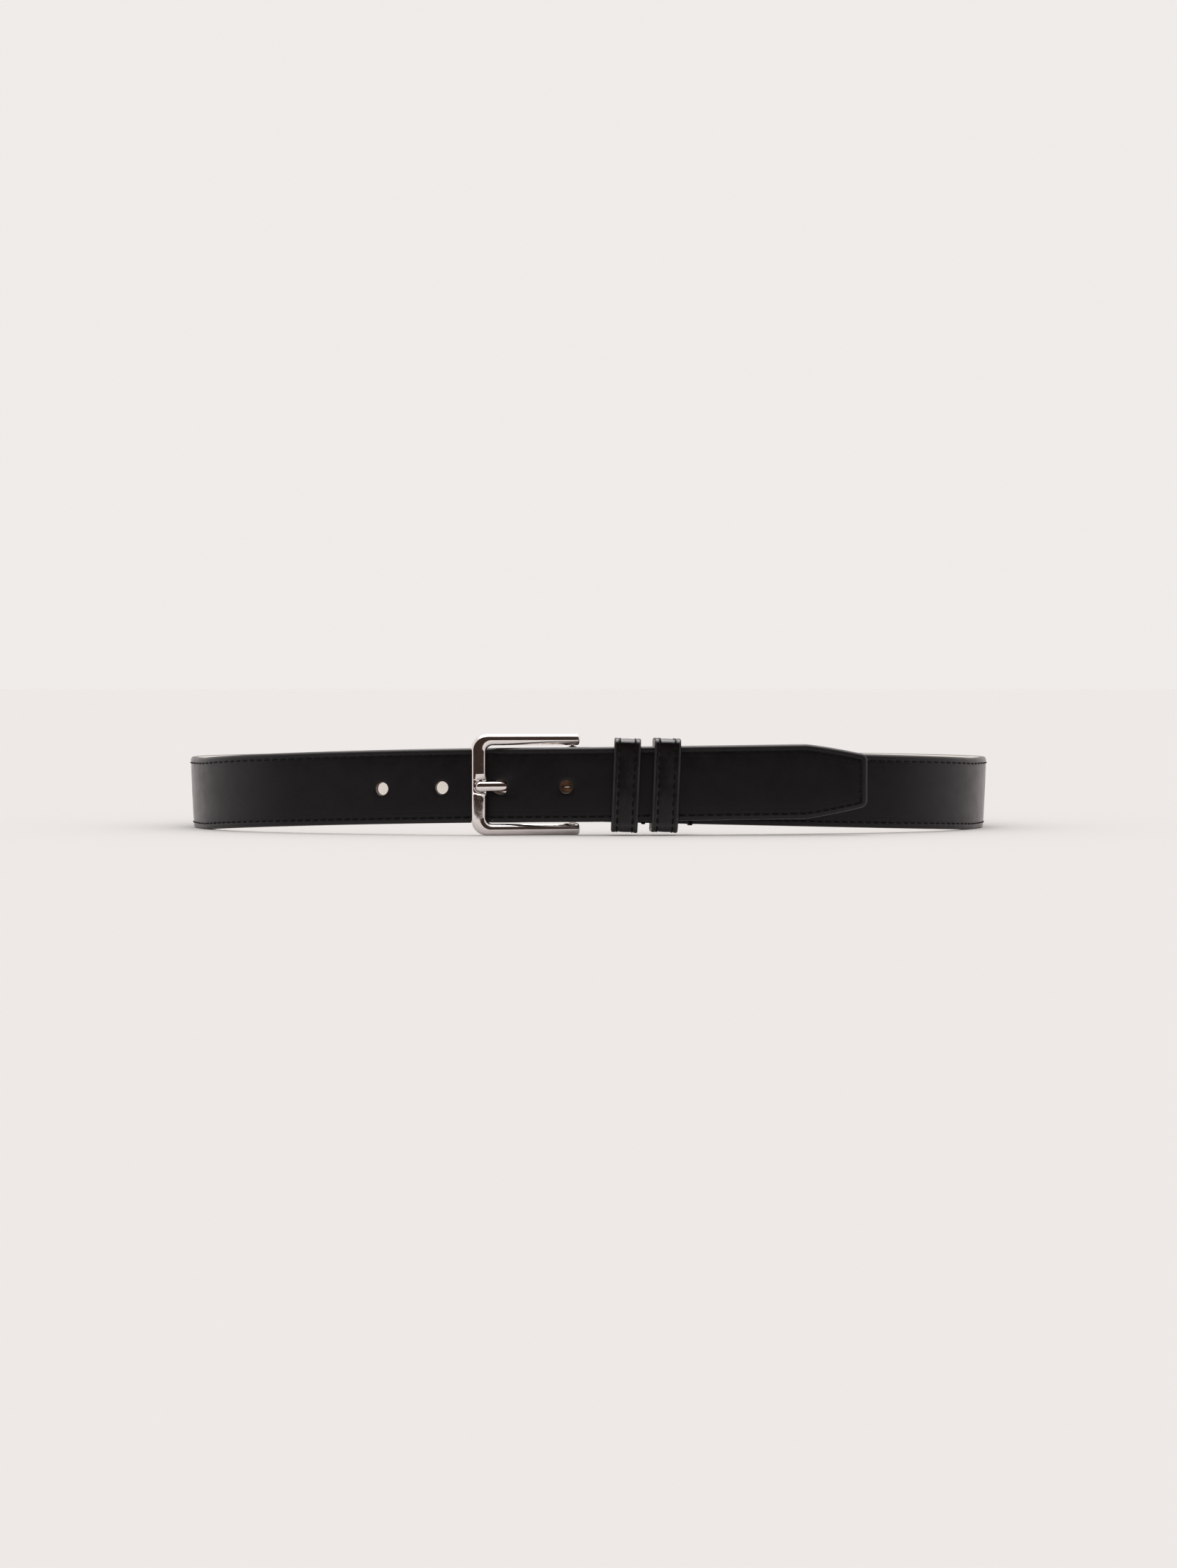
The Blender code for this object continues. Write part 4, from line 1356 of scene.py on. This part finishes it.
PRONG_WIDTH = 4.1 * MM
PRONG_THICKNESS = 1.9 * MM
PRONG_HEIGHT = 19.8 * MM
PRONG_SLOPE = math.radians(16.8)
PRONG_TIP = Vector((-36.9 * MM, -9.35 * MM))
PRONG_STRAIGHT = 21 * MM
PRONG_BEND = 7 * MM
PRONG_LOOP = math.radians(292)
LOOP_STEPS = 42


def prong_section(roundness):
    """(height from the middle line, share of the half thickness): a flat back and a front that is
    flat at roundness 0 and half-round at 1. Front is plus."""
    section = [(-2.05, -0.5), (-1.95, -0.8), (-1.7, -0.96), (0.0, -0.96), (1.7, -0.96),
               (1.95, -0.8)]
    for step in range(21):
        angle = math.pi * step / 20
        up = 2.05 * math.cos(angle)
        arched = -0.45 + 1.45 * math.sin(angle) ** 0.85
        flat = -0.45 + 1.45 * min(1.0, math.sin(angle) ** 0.4 * 1.02)
        section.append((up, flat + (arched - flat) * roundness))
    return section


def prong_line():
    """The prong's middle line in plan from the heel bar: almost a full loop, then the shank."""
    radius = HEEL_BAR_RADIUS + AIR + PRONG_THICKNESS / 2
    leave = math.pi / 2 + PRONG_SLOPE
    start = leave - PRONG_LOOP
    points = []
    for step in range(LOOP_STEPS + 1):
        angle = start + (leave - start) * step / LOOP_STEPS
        points.append(Vector((math.cos(angle), math.sin(angle))) * radius)
    ahead = Vector((-math.cos(PRONG_SLOPE), -math.sin(PRONG_SLOPE)))
    bend_start = points[-1]
    for step in range(1, 8):
        points.append(bend_start + ahead * (PRONG_STRAIGHT * step / 8))
    straight_end = bend_start + ahead * PRONG_STRAIGHT
    control = straight_end + ahead * PRONG_BEND
    for step in range(17):
        t = step / 16
        points.append(straight_end * (1 - t) ** 2 + control * 2 * t * (1 - t) + PRONG_TIP * t * t)
    return points


def make_prong():
    line = prong_line()
    last = len(line) - 1
    stations = []
    for i, point in enumerate(line):
        along = (line[min(i + 1, last)] - line[max(i - 1, 0)]).normalized()
        roof = smooth(LOOP_STEPS, LOOP_STEPS + 6, i)
        stations.append((point, Vector((-along.y, along.x)), roof, 1.0, 1.0))
    along = (line[-1] - line[-2]).normalized()
    side = Vector((-along.y, along.x))
    for step in range(1, 9):
        angle = math.radians(85) * step / 8
        point = line[-1] + along * (PRONG_WIDTH / 2 * math.sin(angle))
        stations.append((point, side, 1.0, math.cos(angle), 0.35 + 0.65 * math.cos(angle) ** 0.6))
    verts = []
    for point, side, roof, narrow, thin in stations:
        section = prong_section(roof)
        for up, out in section:
            if narrow < 1.0:
                out = -1 + (out + 1) * thin
            spot = point + side * (out * PRONG_THICKNESS / 2)
            verts.append(Vector((spot.x, spot.y, up * MM * narrow)))
    faces = tube_faces(len(stations), len(section))
    prong = make_mesh("prong_forged", verts, faces, [NICKEL], sharp=50)
    prong.matrix_world = Matrix.Translation((HEEL.x, HEEL.y, PRONG_HEIGHT))
    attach(prong, "prong")
    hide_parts("prong")


# ==== stage, lights and camera ====


FLOOR_FRONT = -0.30
FLOOR_REACH = 60
CAMERA_DISTANCE = 1.716
CAMERA_HEIGHT = 0.0605
CAMERA_DIP = 1.424
CAMERA_LENS = 91.1
PALE = (0.866, 0.836, 0.816)
DARK = (0.045, 0.030, 0.024)


def make_stage():
    """Pale paper that runs back to the studio's pale wall. The sheet in front, up to the camera,
    stays out of reflections, which show the dark room there."""
    material, tree, shader = new_material("pale_paper")
    shader.inputs["Base Color"].default_value = (0.775, 0.765, 0.762, 1)
    shader.inputs["Roughness"].default_value = 1.0
    shader.inputs["Specular IOR Level"].default_value = 0.0
    for name, low, high in (("paper_floor", FLOOR_FRONT, FLOOR_REACH),
                            ("paper_floor_front", -FLOOR_REACH, FLOOR_FRONT)):
        verts = [Vector((x * FLOOR_REACH, y, 0))
                 for x, y in ((-1, low), (1, low), (1, high), (-1, high))]
        sheet = make_mesh(name, verts, [[0, 1, 2, 3]], [material])
        sheet.visible_glossy = low == FLOOR_FRONT


def make_world():
    """A pale studio, open and bright above, behind and at the sides, and dark behind the camera."""
    world = bpy.data.worlds.new("studio")
    bpy.context.scene.world = world
    world.use_nodes = True
    tree = world.node_tree
    background = tree.nodes["Background"]
    direction = node(tree, "ShaderNodeTexCoord").outputs["Generated"]
    parts = node(tree, "ShaderNodeSeparateXYZ")
    tree.links.new(direction, parts.inputs["Vector"])
    toward = maths(tree, "MULTIPLY_ADD", parts.outputs["Z"], 0.4, parts.outputs["Y"])
    share = span(tree, toward, -0.32, -0.18, 0.0, 1.0)
    fill = node(tree, "ShaderNodeLightPath").outputs["Is Diffuse Ray"]
    share = maths(tree, "MAXIMUM", share, fill)
    colour = ramp(tree, share, ((0.0, DARK), (1.0, PALE)))
    tree.links.new(colour, background.inputs["Color"])


def sun_light(name, energy, spread, tilt):
    """A broad light from overhead; tilt leans it back, away from the camera."""
    data = bpy.data.lights.new(name, "SUN")
    data.energy = energy
    data.angle = math.radians(spread)
    data.color = (1.0, 0.975, 0.96)
    lamp = bpy.data.objects.new(name, data)
    lamp.rotation_euler = (math.radians(-tilt), 0, 0)
    bpy.context.scene.collection.objects.link(lamp)
    return lamp


def make_lights():
    """One light makes the shadow on the floor; the other is the broad softbox that gloss shows."""
    sun_light("overhead", 0.75, 34, 10)
    softbox = sun_light("softbox", 4.2, 66, 2)
    softbox.visible_diffuse = False


def make_camera():
    """Low in front of the belt, looking a little down."""
    data = bpy.data.cameras.new("camera")
    data.sensor_fit = "VERTICAL"
    data.sensor_height = 36
    data.lens = CAMERA_LENS
    data.clip_start = 0.05
    data.clip_end = 100
    camera = bpy.data.objects.new("camera", data)
    bpy.context.scene.collection.objects.link(camera)
    camera.location = (0.0, -CAMERA_DISTANCE, CAMERA_HEIGHT)
    camera.rotation_euler = (math.radians(90 - CAMERA_DIP), 0, 0)
    bpy.context.scene.camera = camera


make_strap()
make_tab()
for row_number, row_run in enumerate(ROW_RUNS, 1):
    make_cross_row(row_number, row_run)
for keeper_number, keeper_run in enumerate(KEEPER_RUNS, 1):
    make_keeper(keeper_number, keeper_run)
make_frame()
make_heel_bar()
make_prong()
make_stage()
make_world()
make_lights()
make_camera()
bpy.context.scene.view_settings.view_transform = "Standard"
